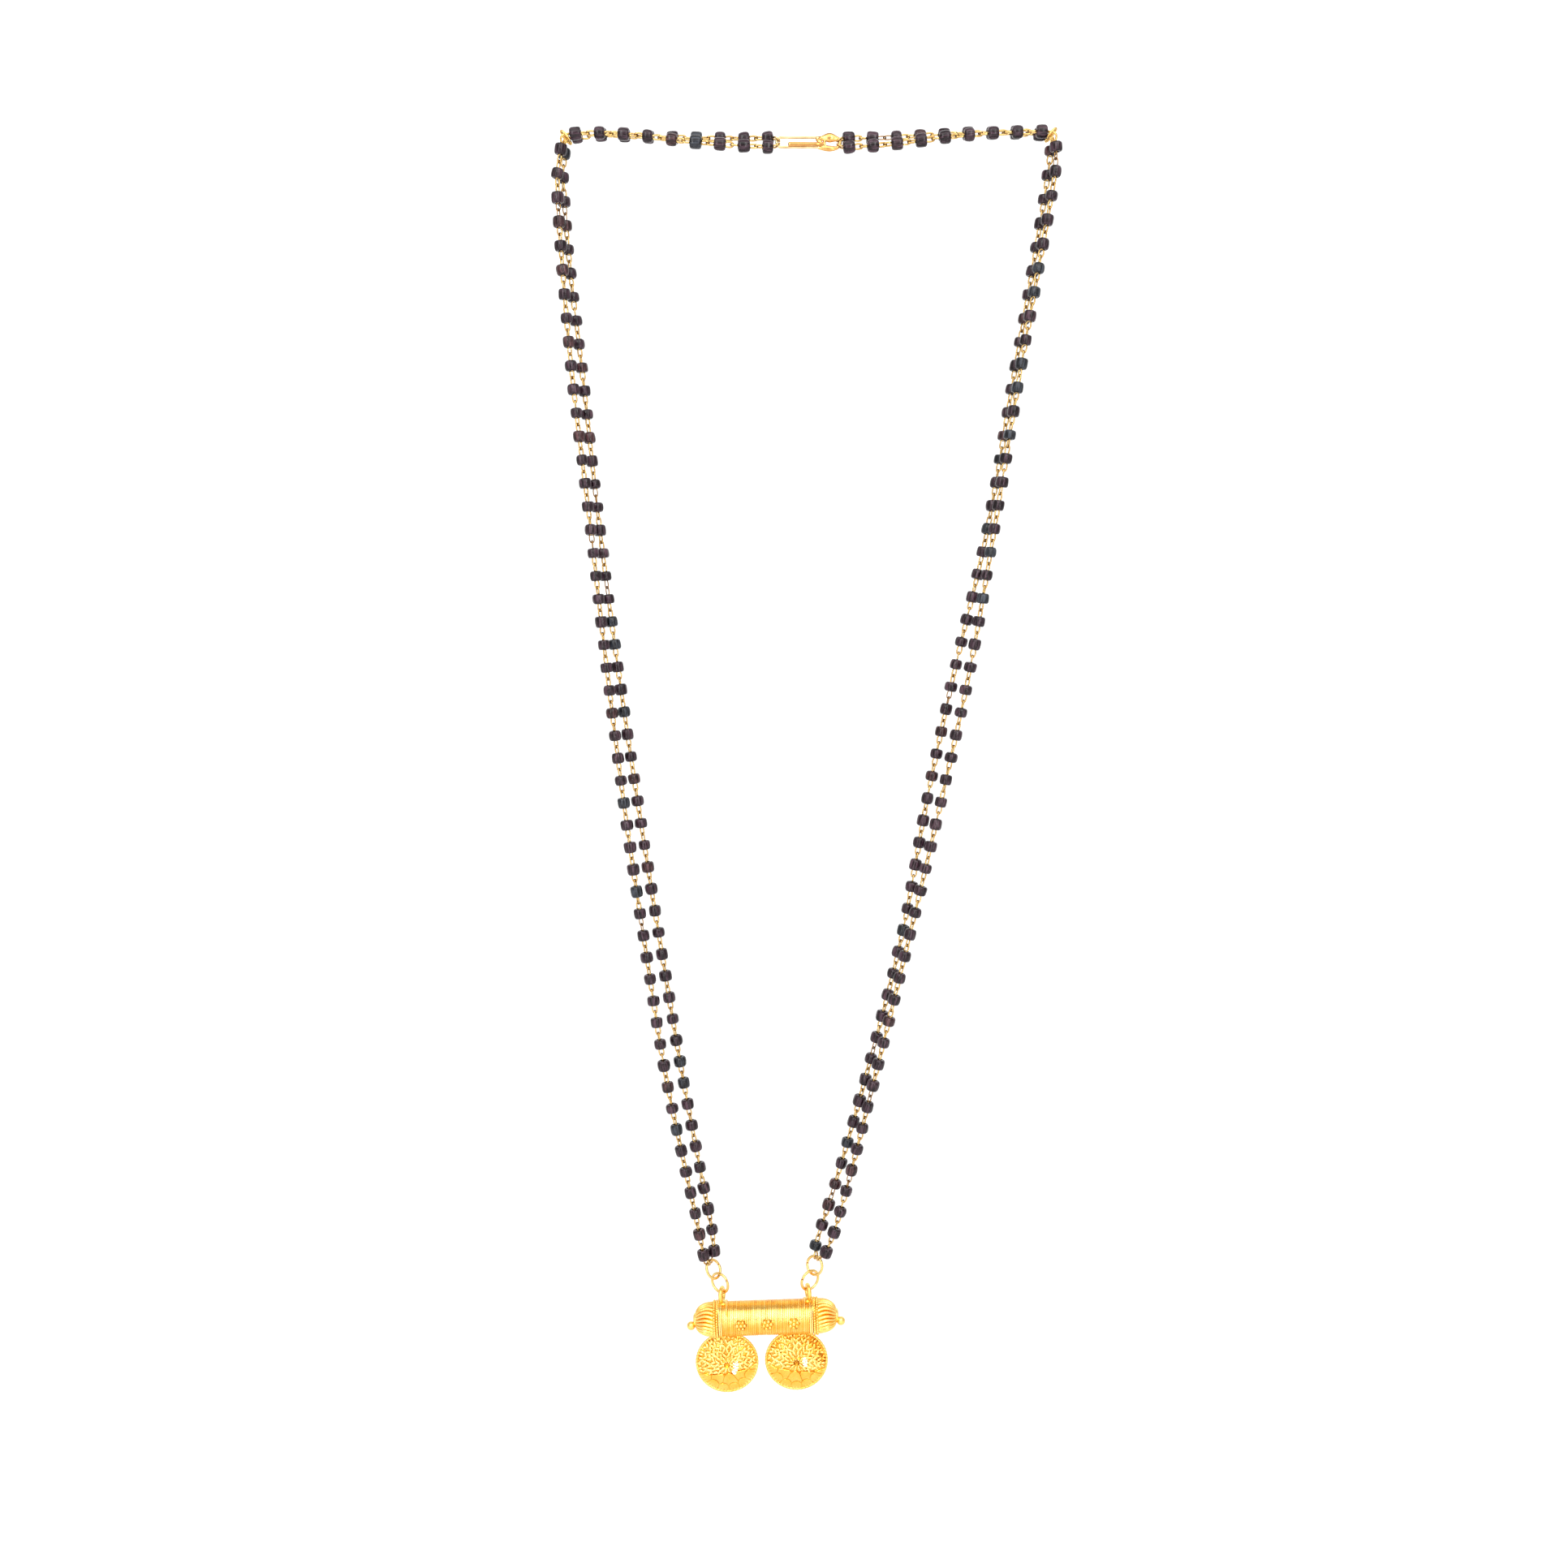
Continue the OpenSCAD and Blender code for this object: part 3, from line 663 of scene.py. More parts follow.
def build_ring(name, centre, ring, radius, cut):
    """Round wire, a little out of round, with its two cut ends meeting."""
    shape = Shape()
    up, side = up_of(ring[0]), across_of(*ring)
    normal = np.cross(up, side)
    t = np.radians(np.linspace(cut + CUT_ANGLES[0], cut + CUT_ANGLES[1], RING_POINTS))
    step = CUT_STEP * ((t - t[0]) / (t[-1] - t[0]) - 0.5)
    r = radius * (1 + OUT_OF_ROUND * np.cos(2 * t))
    path = centre + r[:, None] * circle(t, up, side) + step[:, None] * normal
    wire = np.full(RING_POINTS, RING_WIRE / 2 - 0.005)
    wire[[0, -1]] = RING_WIRE / 2 - 0.05
    tint = np.full(RING_POINTS, 0.25)
    tint[[0, -1]] = 0.9
    shape.tube(path, wire, ROUND_SIDES, tint=tint)
    shape.finish("jump_" + name, RING_GOLD, "necklace", "gold_wire", [name])


build_ring("ring_left_upper", LEFT_UPPER_C, LEFT_UPPER, UPPER_R, cut=95)
build_ring("ring_left_lower", lower_centre(-1, LEFT_LOWER[0]), LEFT_LOWER, LOWER_R, cut=70)
build_ring("ring_right_upper", RIGHT_UPPER_C, RIGHT_UPPER, UPPER_R, cut=-100)
build_ring("ring_right_lower", lower_centre(1, RIGHT_LOWER[0]), RIGHT_LOWER, LOWER_R, cut=-80)


# Clasp: places, across and up, of the solder over the closed eye, the bar under it and the post between them
SOLDER_LINE = ((2.1, -1.35), (3.1, -1.05), (4.3, -0.92), (5.4, -1.05), (6.3, -1.35), (6.75, -1.8))
BAR_LINE = ((2.0, -2.82), (3.4, -2.98), (4.8, -3.08), (6.1, -2.97))
POST_LINE = ((1.9, -1.2), (2.5, -1.9), (3.0, -2.5), (3.2, -3.0))
# Past these points of its path the wire thickens from EYE_FROM over EYE_OVER, and has solder from JOIN_FROM
HOOK_POINTS, EYE_FROM, EYE_OVER, JOIN_FROM = 20, 1.5, 3.5, 2.4
TONGUE_DROP, TONGUE_FRONT = 0.45, 0.5


def arc_points(centre, radius, start, end, n):
    t = np.radians(np.linspace(start, end, n))
    return [centre + radius * vec(math.cos(x), 0, math.sin(x)) for x in t]


def points_between(start, end, n):
    return [start + (end - start) * f for f in np.linspace(0, 1, n)[1:-1]]


def front_line(places, steps):
    """Smooth line in the middle plane through places given across and up."""
    return smooth([vec(x, 0, z) for x, z in places], steps)


def clasp_path():
    """Middle of the clasp's wire: along the hook, round its bend, over to the closed eye, and round that."""
    hook_tip = vec(CLASP_EYE_START[0] - CLASP_EYE_R - 0.6, 0, HOOK_BEND[2] - HOOK_R)
    path = [hook_tip] + points_between(hook_tip, HOOK_BEND - HOOK_R * UP, 14)
    path += arc_points(HOOK_BEND, HOOK_R, 270, 90, 14)
    path += points_between(HOOK_BEND + HOOK_R * UP, CLASP_EYE_END + CLASP_EYE_R * UP, 26)
    path += arc_points(CLASP_EYE_END, CLASP_EYE_R, 90, -90, 16)
    path += points_between(CLASP_EYE_END - CLASP_EYE_R * UP, CLASP_EYE_START - CLASP_EYE_R * UP, 4)
    path += arc_points(CLASP_EYE_START, CLASP_EYE_R, -90, -235, 14)
    return np.array(path)


def add_clasp_wire(shape, solder):
    """The hook's wire goes to shape, and from the join on, the closed eye's goes to solder."""
    path = clasp_path()
    r = CLASP_WIRE / 2
    number, x = np.arange(len(path)), path[:, 0]
    eye = np.clip((x - EYE_FROM) / EYE_OVER, 0, 1) ** 1.5 * (number > HOOK_POINTS)
    wire = r * (0.94 + 0.3 * eye)
    wire[:3] = r * np.array([0.7, 0.98, 1.02])
    wire += r * 0.016 * np.sin(number * 1.3)
    join = int(np.argmax((number > HOOK_POINTS) & (x > JOIN_FROM)))
    shape.tube(path[:join + 1], wire[:join + 1], ROUND_SIDES, tint=0.55, hint=BACK)
    solder.tube(path[join:], wire[join:], ROUND_SIDES, tint=0.5 + 0.15 * eye[join:], hint=BACK)


def add_eye_solder(solder):
    """The thick closed eye: a peak of solder over it, a bar under it, and a post between them."""
    over = front_line(SOLDER_LINE, 6)
    f = np.linspace(0, 1, len(over))
    thick = 0.36 + 0.16 * np.sin(math.pi * f) + 0.45 * np.exp(-((f - 0.42) / 0.2) ** 2)
    solder.tube(over, thick, 18, tint=0.55 + 0.2 * f, hint=BACK, flat=0.62)
    under = front_line(BAR_LINE, 6)
    f = np.linspace(0, 1, len(under))
    solder.tube(under, 0.26 + 0.34 * np.sin(math.pi * f), 16, tint=0.6, hint=BACK, flat=0.7)
    post = front_line(POST_LINE, 5)
    solder.tube(post, np.linspace(0.4, 0.5, len(post)), ROUND_SIDES, tint=0.5, hint=BACK, flat=0.75)
    solder.ball(vec(1.95, -0.1, -1.1), 0.45, 8, 14, 0.15)


def add_tongue(solder):
    """Safety tongue: flat spring wire in front of the hook."""
    z = HOOK_BEND[2] - TONGUE_DROP
    root = CLASP_EYE_START + CLASP_EYE_R * vec(-cosd(25), 0, -sind(25))
    elbow = vec(CLASP_EYE_START[0] - CLASP_EYE_R - 1.4, -TONGUE_FRONT, z)
    tip = vec(HOOK_BEND[0] + 1.4, -TONGUE_FRONT, z)
    tongue = smooth([root, elbow, elbow + (tip - elbow) * 0.33, elbow + (tip - elbow) * 0.66, tip], 6)
    n = len(tongue)
    thick = np.interp(np.arange(n), [0, n * 0.3, n - 5, n - 2, n - 1], [0.4, 0.36, 0.44, 0.42, 0.24])
    solder.tube(tongue, thick, ROUND_SIDES, tint=np.linspace(0.8, 0.7, n), hint=BACK, flat=0.68)


def build_clasp():
    shape, solder = Shape(), Shape()
    add_clasp_wire(shape, solder)
    add_eye_solder(solder)
    add_tongue(solder)
    shape.finish("clasp", PALE_GOLD, "necklace", "gold_wire", ["clasp_hook"])
    solder.finish("clasp_eye", CLASP_GOLD, "necklace", "gold_wire")


build_clasp()


# Pendant
BAIL_Z = TUBE_D / 2 + BAIL_R + BAIL_WIRE / 2 - SOLDER
PIVOT_Z = BAIL_Z + BAIL_R - BAIL_WIRE / 2 - BAIL_PLAY - RING_WIRE / 2
ALONG = vec(cosd(TILT), 0, sind(TILT))
ACROSS_UP = vec(-sind(TILT), 0, cosd(TILT))
TUBE_CENTRE = PIVOT - PIVOT_Z * ACROSS_UP
COLLAR_MID = TUBE_LEN / 2 + 2 * BAND_LEN + COLLAR_LEN / 2
DOME_FOOT = COLLAR_MID + COLLAR_LEN / 2
CAP_FOOT = DOME_FOOT + DOME_LEN - CAP_SINK
MIDDLE = vec(0, 0, 0)
# The winding: turns, points in a turn, half the strip's width and thickness, length past TUBE_LEN
TURNS, TURN_POINTS, STRIP_HALF, STRIP_THICK, WOUND_PAST = 47, 40, 0.225, 0.15, 0.35
END_SIDES, CAP_SIDES, CAP_R = 72, 48, 1.2
GRANULES, GRANULE_R, GRANULE_STEP, GRANULE_RING_R = 42, 0.3, 0.58, 3.8
RIBS, RIB_SIDES, RIB_DEPTH, RIB_TURN = 24, 10, 0.55, 0.14
SADDLE_STEP, SADDLE_R, SADDLE_RISE = 0.72, 0.22, 0.08
PETALS, PETAL_SHIFT, PETAL_RADII, FLORET_SIDES = 6, 0.82, (0.34, 0.42), 48


def on_pendant(points):
    """From the pendant's own directions, along the tube, back and up, to the frame's."""
    return TUBE_CENTRE + points[:, :1] * ALONG + points[:, 1:2] * BACK + points[:, 2:] * ACROSS_UP


def pendant_piece(shape, name, nodes=(), sharp=None):
    shape.finish(name, PENDANT_GOLD, "pendant", "gold_pendant", nodes, sharp)


def winding_tint(a, t, rng):
    """Tint at the angle a and turn t: a painted highlight band in random streaks across the front, and
    painted shade above and below.
    """
    places = np.arange(8 * TURNS + 9)
    highlight_streaks = np.interp(8 * t, places, [rng.uniform(0.3, 1.0) for _ in places])
    height = (math.degrees(1) * a + 90) % 360 - 90
    painted_highlight = highlight_streaks * np.exp(-((height - 32) / 23) ** 2)
    shade_above_below = 0.24 * np.clip((height - 56) / 12, 0, 1) + 0.1 * np.clip((8 - height) / 12, 0, 1)
    return 0.48 + 0.08 * np.sin(2.1 * t) + 0.06 * np.sin(9.7 * t) - 0.66 * painted_highlight + shade_above_below


def build_winding():
    """Flat wire wound round a core, each turn a little off its place."""
    shape = Shape(on_pendant)
    rng = random.Random(5)
    pitch = (TUBE_LEN + WOUND_PAST) / TURNS
    t = np.arange(TURNS * TURN_POINTS + 1) / TURN_POINTS
    knots = np.arange(TURNS + 2)
    shift = np.interp(t, knots, [rng.uniform(-0.02, 0.02) for _ in knots])
    sink = np.interp(t, knots, [rng.uniform(0, 0.05) for _ in knots])
    u = (t - TURNS / 2) * pitch + shift
    radius = TUBE_D / 2 - STRIP_THICK - sink
    a = 2 * math.pi * t
    path = np.stack([u, -radius * np.cos(a), radius * np.sin(a)], 1)
    shape.tube(path, STRIP_THICK, 10, tint=winding_tint(a, t, rng), hint=RIGHT, flat=STRIP_HALF / STRIP_THICK)
    # The core under the winding is painted dark, as shade between the turns.
    core = TUBE_D / 2 - 1.9 * STRIP_THICK
    shape.turned([(-DOME_FOOT, core), (0, core), (DOME_FOOT, core)], MIDDLE, RIGHT, 48, tint=0.85)
    pendant_piece(shape, "tube_winding", ["pendant"])


def add_bands(shape, axis):
    """Two flat bands with rounded edges, the outer one lower, painted darker down their sides as shade."""
    edge = 0.08
    for i in (0, 1):
        z0 = TUBE_LEN / 2 + i * BAND_LEN
        z1 = TUBE_LEN / 2 + (i + 1) * BAND_LEN - 0.05
        r = TUBE_D / 2 + BAND_RISE - i * BAND_RISE / 2
        near = [(z0, r - 0.5), (z0, r - edge), (z0 + edge, r)]
        far = [(z1 - edge, r), (z1, r - edge), (z1, r - 0.5)]
        shape.turned(near + far, MIDDLE, axis, END_SIDES, tint=[0.8, 0.4, 0.1, 0.1, 0.4, 0.8])


def add_collar(shape, balls, side):
    """Collar: a core painted dark as shade between the granules, with two rows of granules."""
    outline = ((-0.6, 0.7), (-0.55, 0.35), (0, 0.22), (0.55, 0.35), (0.6, 0.7))
    profile = [(COLLAR_MID + z, TUBE_D / 2 + COLLAR_RISE - drop) for z, drop in outline]
    shape.turned(profile, MIDDLE, side * RIGHT, END_SIDES, tint=0.95)
    for row in (0, 1):
        u = side * (COLLAR_MID - GRANULE_STEP / 2 + GRANULE_STEP * row)
        for k in range(GRANULES):
            a = 2 * math.pi * (k + 0.5 * row) / GRANULES
            place = vec(u, GRANULE_RING_R * math.cos(a), GRANULE_RING_R * math.sin(a))
            balls.ball(place, GRANULE_R, 6, 9, 0.4)


def dome_radius(s):
    """Radius of an end dome from its foot, s = 0, to the cap, s = 1."""
    return CAP_R + (TUBE_D / 2 - 0.05 - CAP_R) * np.clip(1 - s ** 2.3, 0, 1) ** 0.52


def add_dome(shape, side):
    """Dome of rounded ribs with sharp valleys, turned a little along it, the valleys painted darker as shade.
    """
    axis = side * RIGHT
    s = np.sin(np.linspace(0, math.pi / 2, 22))
    t = angles(RIBS * RIB_SIDES)
    turn = t[None, :] - side * RIB_TURN * np.sin(s * math.pi)[:, None]
    wave = np.abs(np.cos(RIBS * t / 2))[None, :] ** 0.7 * np.ones((len(s), 1))
    depth = (RIB_DEPTH * np.sin(math.pi * (0.16 + 0.74 * s)))[:, None]
    r = dome_radius(s)[:, None] - depth * (1 - wave)
    z = DOME_FOOT - 0.1 + (DOME_LEN + 0.1) * s
    a, b = across(axis)
    ring = z[:, None, None] * axis + r[:, :, None] * circle(turn, a, b)
    shape.grid(ring, tint=(0.25 + 0.5 * (1 - wave)).reshape(-1))


def add_cap(shape, balls, side):
    """The dome's scalloped cap, and its ball."""
    end = CAP_FOOT + CAP_LEN
    profile = [(CAP_FOOT - 0.1, 0.9), (CAP_FOOT, 1.34), (CAP_FOOT + 0.2, 1.48), (CAP_FOOT + 0.5, 1.44),
               (end - 0.12, 1.2), (end - 0.02, 0.8), (end, 0.2)]

    def scallops(z, t):
        return 1 - 0.05 * (1 - np.abs(np.cos(5 * t)))

    # The cap's foot, sunk in the dome, is painted darker as shade.
    shape.turned(profile, MIDDLE, side * RIGHT, CAP_SIDES, shape=scallops,
                 tint=[0.9, 0.5, 0.2, 0.1, 0.2, 0.3, 0.3])
    ball_u = end + BALL_D / 2 - BALL_SINK
    balls.ball(vec(side * ball_u, -BALL_FRONT, -BALL_DROP), BALL_D / 2, 12, 18, 0.35)


def build_ends():
    shape, balls = Shape(on_pendant), Shape(on_pendant)
    for side in (-1, 1):
        add_bands(shape, side * RIGHT)
        add_collar(shape, balls, side)
        add_dome(shape, side)
        add_cap(shape, balls, side)
    pendant_piece(shape, "tube_ends", sharp=50)
    pendant_piece(balls, "tube_granules")


def build_bails():
    """Each bail is a ring on a cone of solder, with a short saddle of wire on both sides of its foot."""
    shape = Shape(on_pendant)
    foot = [(-0.3, 1.25), (0.0, 1.15), (0.22, 0.85), (0.45, 0.6), (0.62, 0.3)]
    t = angles(48)
    a = np.radians(np.linspace(-62, 62, 30))
    r = TUBE_D / 2 + SADDLE_RISE
    for side in (-1, 1):
        turn = side * BAIL_TURN
        flat = vec(-sind(turn), cosd(turn), 0)
        u = side * BAIL_SPAN / 2
        path = vec(u, 0, BAIL_Z) + BAIL_R * circle(t, flat, UP)
        shape.tube(path, BAIL_WIRE / 2 + 0.05 + 0.01 * np.cos(5 * t), ROUND_SIDES, True, 0.35)
        # The solder cone is painted darker towards its foot, as shade.
        shape.turned(foot, vec(u, 0, TUBE_D / 2 - 0.05), UP, 24, tint=[0.8, 0.6, 0.4, 0.3, 0.2])
        for way in (-1, 1):
            saddle = np.stack([u + way * (SADDLE_STEP + 0.35 * np.abs(a)), r * np.sin(a), r * np.cos(a)], 1)
            shape.tube(saddle, SADDLE_R * np.clip(1.6 * np.cos(a * 1.35), 0.3, 1), WIRE_SIDES, tint=0.3)
    pendant_piece(shape, "bails")


def add_floret(shape, u, turn, rng):
    """A lobed plate painted dark as shadow round the floret on the tube's front, with round petals round a
    round centre.
    """
    front = -TUBE_D / 2
    t = angles(FLORET_SIDES)
    edge = FLORET_D / 2 * (0.64 + 0.36 * np.abs(np.cos(PETALS * t / 2)) ** 0.8)
    rows = [(f, front - 0.3 * (1 - 0.5 * f ** 3), 0.9) for f in np.linspace(0.12, 1.0, 8)]
    rows.append((1.0, front + 0.5, 1.0))
    ring = [np.stack([u + f * edge * np.cos(t), y + 0 * t, f * edge * np.sin(t)], 1) for f, y, _ in rows]
    shape.grid(np.array(ring), tint=np.repeat([tint for _, _, tint in rows], FLORET_SIDES))
    shape.ball(vec(u, front - 0.22, 0), 0.4, 8, 12, 0.3)
    for k in range(PETALS):
        a = 2 * math.pi * (k + turn) / PETALS
        size = rng.uniform(*PETAL_RADII)
        place = vec(u + PETAL_SHIFT * math.cos(a), front - 0.18, PETAL_SHIFT * math.sin(a))
        shape.ball(place, size, 8, 12, rng.uniform(0.2, 0.5))


def build_florets():
    shape = Shape(on_pendant)
    rng = random.Random(9)
    for i in range(FLORETS):
        add_floret(shape, FLORET_SHIFT + (i - (FLORETS - 1) / 2) * FLORET_PITCH, 0.2 * i, rng)
    pendant_piece(shape, "florets")


# Bowls
BOWL_Z = -(math.sqrt((TUBE_D / 2) ** 2 - BOWL_BACK ** 2) + BOWL_D / 2 - SOLDER)
RIM_R = BOWL_D / 2 - RIM_WIRE / 2
BOWL_BALL_R = (RIM_R ** 2 + BOWL_RISE ** 2) / (2 * BOWL_RISE)
FACE_R = BOWL_D / 2 - 0.25
FACE_SIDES, BACK_SIDES = 312, 72
# The pattern is turned by this angle, the other way on the other bowl
PATTERN_TURN = 0.14
# The lobes begin this far under the centre, on a line that bends up to the rim
LOBE_DROP, LOBE_BEND, LOBE_ARCH = 1.75, 0.016, 0.9
INNER_LOBES, OUTER_LOBES, OUTER_FROM = 8, 15, 4.5
SCALLOPS = 56
# Rings of leaves: leaves in a full ring, its radius, their length, half width and lean, and the ring's turn
LEAVES = (
    (10, 1.35, 1.2, 0.29, 0.15, 0.1),
    (18, 2.3, 1.45, 0.33, 0.5, 0.0),
    (26, 3.25, 1.55, 0.34, -0.55, 0.3),
    (33, 4.2, 1.55, 0.35, 0.55, 0.0),
    (41, 5.15, 1.5, 0.35, -0.5, 0.5),
    (48, 6.05, 1.05, 0.32, 0.4, 0.2),
)
# Rings of granules: granules in a full ring, its radius and theirs
GRANULE_RINGS = ((9, 0.8, 0.2), (17, 1.85, 0.17), (25, 2.8, 0.17), (32, 3.8, 0.18), (39, 4.8, 0.18))
# Places of the scales with a painted highlight beside each bowl's centre, across and up
SCALES = {
    -1: [(2.1, 0.95), (1.75, 0.5), (2.25, 0.25), (1.7, -0.1), (2.1, -0.45), (1.55, -0.75), (1.95, -1.05),
         (1.4, -1.35), (1.65, -1.75)],
    1: [(1.75, 1.15), (2.1, 0.8), (1.65, 0.5), (2.05, 0.2), (1.7, -0.1), (1.95, -0.5)],
}
SCALE_TILT, SCALE_HALF_WIDTH, SCALE_HALF_HEIGHT, SCALE_RISE = 41, 0.44, 0.42, 0.16
# A scale from its top to its underside: share of its width and height, and lift
SCALE_ROWS = ((0.05, 0.03), (0.5, 0.025), (0.85, 0.01), (1.0, -0.03), (0.8, -0.3), (0.05, -0.4))


def on_bowl(side, x, y, z):
    """From a bowl's face, across, up and out to the front, to the pendant's directions."""
    return np.stack([BOWL_SHIFT + side * BOWL_SPAN / 2 + x, BOWL_BACK - z, BOWL_Z + y], -1)


def dome_height(rho):
    return np.sqrt(np.maximum(BOWL_BALL_R ** 2 - (rho * RIM_R / FACE_R) ** 2, 0)) - (BOWL_BALL_R - BOWL_RISE)


def lobe_start(phi):
    """How far from the centre the lower lobes begin in that direction."""
    down, out = -np.sin(phi), np.cos(phi)
    return 2 * LOBE_DROP / (down + np.sqrt(down ** 2 + 4 * LOBE_BEND * LOBE_DROP * out ** 2))


def lobes(rho, phi, count, shift, top, slope=1.0):
    """A row of lobes, round ends to the centre: their bulge, their grooves, and where they lie."""
    off = np.abs(((phi / (2 * math.pi) * count + shift) % 1.0) - 0.5) * 2
    edge = top + LOBE_ARCH * (1 - np.sqrt(np.clip(1 - off ** 2, 0, 1)))
    inside = np.clip((rho - edge) * slope / 0.16, 0, 1)
    groove = np.exp(-(((rho - edge) * slope + 0.05) / 0.12) ** 2) + inside * np.exp(-((1 - off) / 0.05) ** 2)
    bulge = inside * (0.55 + 0.45 * np.sqrt(np.clip(1 - off ** 2, 0, 1)))
    return bulge, np.clip(groove, 0, 1), inside


def relief(rho, phi):
    """Height of the chased pattern over the bowl's dome, and its painted shade."""
    down = phi + math.pi / 2
    slope = np.clip(-np.sin(phi), 0.2, 1)
    inner, inner_groove, low = lobes(rho, down, INNER_LOBES, 0.5, lobe_start(phi), slope)
    outer, outer_groove, cover = lobes(rho, down, OUTER_LOBES, 0.25, OUTER_FROM)
    cover = cover * low
    height = 0.2 * inner * (1 - cover) + (0.1 + 0.1 * outer) * cover
    groove = np.maximum(inner_groove * (1 - cover), outer_groove * low)
    notches = np.clip((rho - 5.9) / 0.2, 0, 1) * (0.05 * np.cos(SCALLOPS * phi) - 0.05)
    ground = -0.14 * (1 - low) * np.clip((rho - 0.9) / 0.3, 0, 1) * np.clip((6.7 - rho) / 0.7, 0, 1)
    pit = -0.45 * np.exp(-((rho / 0.6) ** 4))
    h = low * height - 0.14 * groove + ground + pit + notches
    # Painted shade: darker in the grooves and on the ground between the leaves, dark in the pit, and lighter
    # and darker by turns over the scallops.
    painted_shade = low * (0.6 + 0.45 * groove) + (1 - low) * (0.62 + 0.2 * np.sin(9 * phi) * np.sin(3.1 * rho))
    painted_shade = np.where(rho > 6.4, 0.45, painted_shade)
    painted_shade = np.where(rho < 0.75, 0.9, painted_shade)
    return h, np.clip(painted_shade - np.where(rho > 5.9, 0.15 * np.cos(SCALLOPS * phi), 0), 0, 1)


def upper_right_shade(rho, phi):
    """How much painted shade darkens the upper right of the right bowl."""
    return np.clip((rho * np.cos(phi - 0.75) - 2.0) / 2.5, 0, 1)


def above_lobes(rho, phi, side, margin=0.0):
    return rho <= lobe_start(phi + PATTERN_TURN * side) - margin


def add_face(shape, side):
    rows = np.concatenate([np.linspace(0.05, 1.0, 9), np.linspace(1.12, FACE_R, 50)])
    rho, phi = np.meshgrid(rows, angles(FACE_SIDES), indexing="ij")
    h, painted_shade = relief(rho, phi + PATTERN_TURN * side)
    # On the right bowl the upper right is painted darker as shade.
    if side > 0:
        painted_shade = np.clip(painted_shade + 0.38 * upper_right_shade(rho, phi) * above_lobes(rho, phi, side), 0, 1)
    face = on_bowl(side, rho * np.cos(phi), rho * np.sin(phi), dome_height(rho) + h)
    shape.grid(face, caps=False, tint=painted_shade.reshape(-1))
    # A cap painted dark, as shade in the pit at the centre.
    shape.add(face[0][::24], [tuple(range(FACE_SIDES // 24))], 1.0)


def add_back(shape, side):
    """The back is a smooth hollow."""
    rho, phi = np.meshgrid(np.linspace(0.1, FACE_R, 16), angles(BACK_SIDES), indexing="ij")
    depth = BOWL_WALL * (1 - (rho / FACE_R) ** 8) + 0.02
    back = on_bowl(side, rho * np.cos(phi), rho * np.sin(phi), dome_height(rho) - depth)
    shape.grid(back, caps=False, tint=0.45)
    shape.add(back[0], [tuple(range(BACK_SIDES))], 0.45)


def add_rim(shape, side):
    """The rim is a thin rolled edge pressed into fine scallops."""
    t = angles(SCALLOPS * 6)
    nicks = (1 - np.abs(np.cos(SCALLOPS / 2 * t))) ** 2
    r = BOWL_D / 2 - 0.3 - 0.06 * nicks
    rim = on_bowl(side, r * np.cos(t), r * np.sin(t), 0 * t + 0.02)
    # The nicks are painted darker as shade.
    shape.tube(rim, 0.3 - 0.05 * nicks, 10, True, 0.35 + 0.4 * nicks)


def add_leaf(leaves, side, rho, phi, length, width, lean, rng):
    """One ridged leaf on the bowl's face."""
    f = np.linspace(0, 1, 13)
    step = (f - 0.5) * length
    x = rho * math.cos(phi) + step * math.cos(phi + lean)
    y = rho * math.sin(phi) + step * math.sin(phi + lean)
    path = on_bowl(side, x, y, dome_height(np.minimum(np.hypot(x, y), FACE_R)) + 0.03)
    ridge = np.cos(2 * math.pi * 4 * f)
    thick = width * np.sin(math.pi * (0.06 + 0.88 * f)) ** 0.75 * (1 + 0.05 * ridge)
    # The valleys between the ridges are painted darker as shade, and on the right bowl its upper right is
    # painted darker as shade too.
    shade = 0.1 + 0.12 * (1 - ridge)
    if side > 0:
        shade = shade + 0.45 * upper_right_shade(np.hypot(x, y), np.arctan2(y, x)) * rng.random()
    leaves.tube(path, thick, WIRE_SIDES, tint=shade)


def add_leaves(leaves, side):
    rng = random.Random(31 + side)
    for count, radius, length, width, lean, shift in LEAVES:
        for k in range(count):
            phi = 2 * math.pi * (k + shift) / count + rng.uniform(-0.03, 0.03)
            if not above_lobes(radius, phi, side, margin=0.05):
                continue
            swing = lean * (1 if k % 2 else -1) + rng.uniform(-0.35, 0.35)
            rho = radius + rng.uniform(-0.15, 0.15)
            size = length * rng.uniform(0.9, 1.1), width * rng.uniform(0.9, 1.1)
            add_leaf(leaves, side, rho, phi, *size, swing, rng)


def add_granules(leaves, side):
    for count, radius, size in GRANULE_RINGS:
        for k in range(count):
            phi = 2 * math.pi * (k + 0.5) / count
            if above_lobes(radius, phi, side):
                height = dome_height(np.array(radius)) + 0.05
                place = on_bowl(side, radius * math.cos(phi), radius * math.sin(phi), height)
                leaves.ball(place, size, 6, 8, 0.05)


def build_scales(side):
    """Broad scales beside the bowl's centre, tilted up to catch the light, and made pale to paint a highlight
    on them.
    """
    scales = Shape(on_pendant)
    t = angles(20)
    for x, y in SCALES[side]:
        foot = dome_height(np.array(math.hypot(x, y))) + SCALE_RISE
        rings = []
        for share, lift in SCALE_ROWS:
            px, q = share * SCALE_HALF_WIDTH * np.cos(t), share * SCALE_HALF_HEIGHT * np.sin(t)
            py = q * cosd(SCALE_TILT) + lift * sind(SCALE_TILT)
            out = lift * cosd(SCALE_TILT) - q * sind(SCALE_TILT)
            rings.append(on_bowl(side, x + px, y + py, foot + out))
        scales.grid(np.array(rings), tint=0.0)
    scales.finish("bowl_scales_" + SIDE_NAMES[side], PALE_GOLD, "pendant", "gold_pendant")


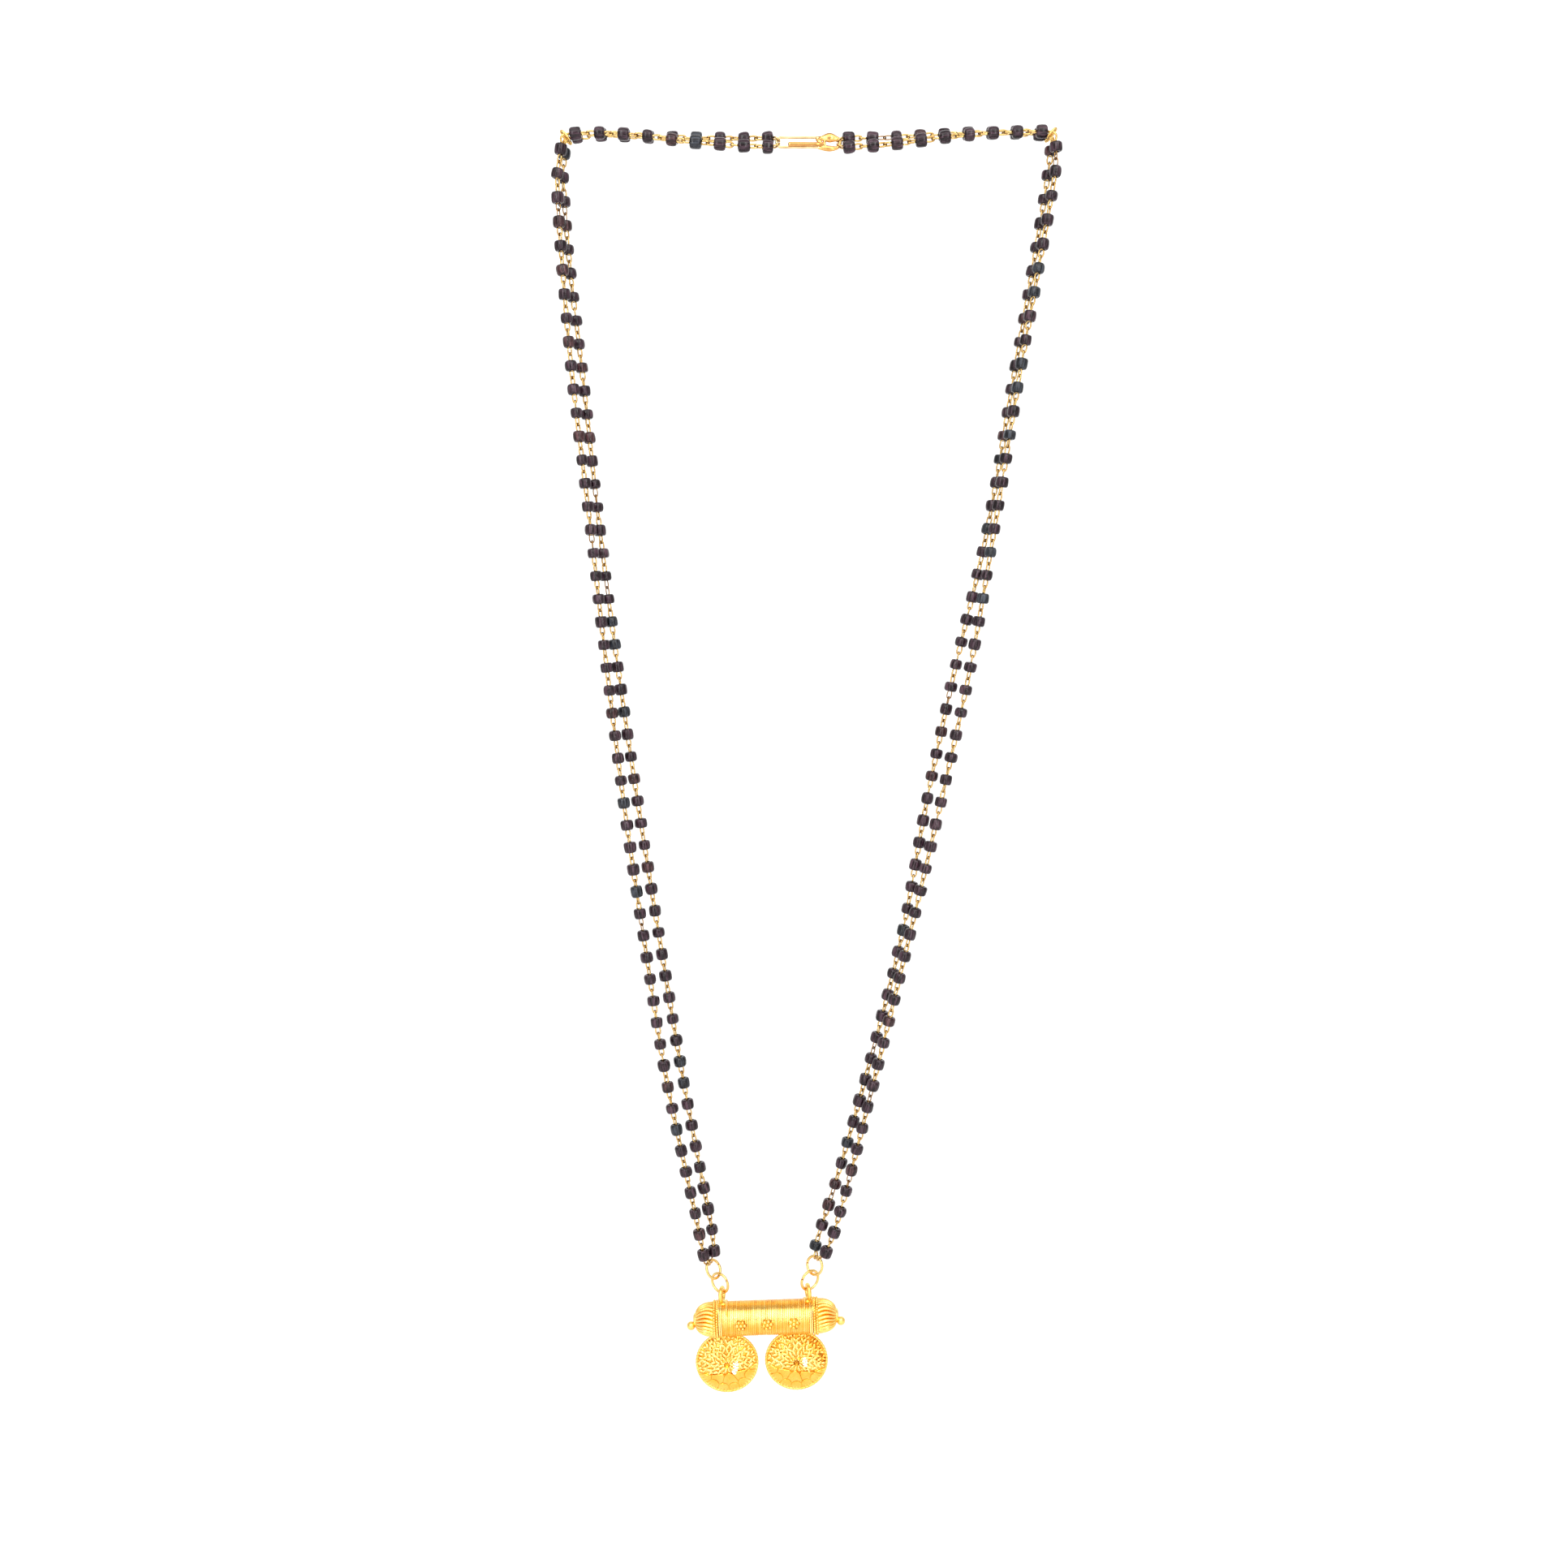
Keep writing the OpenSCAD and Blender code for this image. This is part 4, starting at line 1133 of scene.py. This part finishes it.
def build_bowl(side):
    shape = Shape(on_pendant)
    add_face(shape, side)
    add_back(shape, side)
    add_rim(shape, side)
    pendant_piece(shape, "bowl_" + SIDE_NAMES[side])
    leaves = Shape(on_pendant)
    add_leaves(leaves, side)
    add_granules(leaves, side)
    build_scales(side)
    # Solder under the tube
    for step in (-0.7, 0.7):
        leaves.ball(on_bowl(side, step, RIM_R + 0.1, 0.0), 0.45, 8, 10, 0.4)
    pendant_piece(leaves, "bowl_leaves_" + SIDE_NAMES[side])


build_winding()
build_ends()
build_bails()
build_florets()
build_bowl(-1)
build_bowl(1)


# Stage and light
FLOOR_Z, FLOOR_FRONT, FLOOR_HALF_WIDTH = -0.325, -2.2, 2.6
WALL_Y, WALL_TOP, WALL_BEND = 0.9, 2.4, 0.35
WORLD_STRENGTH = 0.79
NECKLACE_MIDDLE = (0, 0, -0.13)
# Each light's place, the place it is turned to, its width and height, and its power
LIGHTS = {
    "top_box": ((0, -0.5, 0.62), (0, 0, -0.25), (1.5, 0.5), 5),
    "front_box": ((0, -1.1, 0.5), (0, 0, -0.2), (1.4, 0.5), 3.2),
    "left_strip": ((-0.28, -0.62, 0), NECKLACE_MIDDLE, (0.05, 0.9), 1.7),
    "right_strip": ((0.24, -0.66, 0.05), NECKLACE_MIDDLE, (0.05, 0.9), 1.7),
    "wall_wash": ((0, 0.25, 0.9), (0, 0.9, 0.9), (2, 0.4), 6),
}


def floor_material():
    material, tree, shader = new_material("pale_floor")
    grain = noise(tree, texture_place(tree), 60.0, 2.0)
    colour = ramp(tree, grain, [(0.0, (0.9,) * 3), (1.0, (0.93,) * 3)])
    put(tree, shader, {"Base Color": colour, "Roughness": 0.9, "Specular IOR Level": 0.1})
    return material


def build_stage():
    """Pale floor that bends up into a pale wall behind."""
    line = [(FLOOR_FRONT, FLOOR_Z)]
    for a in np.linspace(0, math.pi / 2, 20):
        y = WALL_Y - WALL_BEND + WALL_BEND * math.sin(a)
        line.append((y, FLOOR_Z + WALL_BEND - WALL_BEND * math.cos(a)))
    line.append((WALL_Y, WALL_TOP))
    points = [(x, y, z) for y, z in line for x in (-FLOOR_HALF_WIDTH, FLOOR_HALF_WIDTH)]
    faces = [(2 * i, 2 * i + 1, 2 * i + 3, 2 * i + 2) for i in range(len(line) - 1)]
    mesh = bpy.data.meshes.new("floor")
    mesh.from_pydata(points, [], faces)
    mesh.polygons.foreach_set("use_smooth", [True] * len(faces))
    mesh.materials.append(floor_material())
    floor = new_object("floor", mesh)


def area_light(name, place, target, size, power):
    data = bpy.data.lights.new(name, "AREA")
    data.shape = "RECTANGLE"
    data.size, data.size_y = size
    data.energy = power
    light = new_object(name, data)
    light.location = place
    direction = vec(*target) - vec(*place)
    yaw = math.atan2(direction[1], direction[0]) - math.pi / 2
    pitch = math.atan2(direction[2], math.hypot(direction[0], direction[1])) + math.pi / 2
    light.rotation_euler = (pitch, 0.0, yaw)


def build_light():
    world = bpy.data.worlds.new("studio")
    world.use_nodes = True
    background = world.node_tree.nodes["Background"]
    put(world.node_tree, background, {"Color": (1.0, 1.0, 1.0, 1.0), "Strength": WORLD_STRENGTH})
    bpy.context.scene.world = world
    bpy.context.scene.view_settings.view_transform = "Standard"
    for name, settings in LIGHTS.items():
        area_light(name, *settings)


build_stage()
build_light()
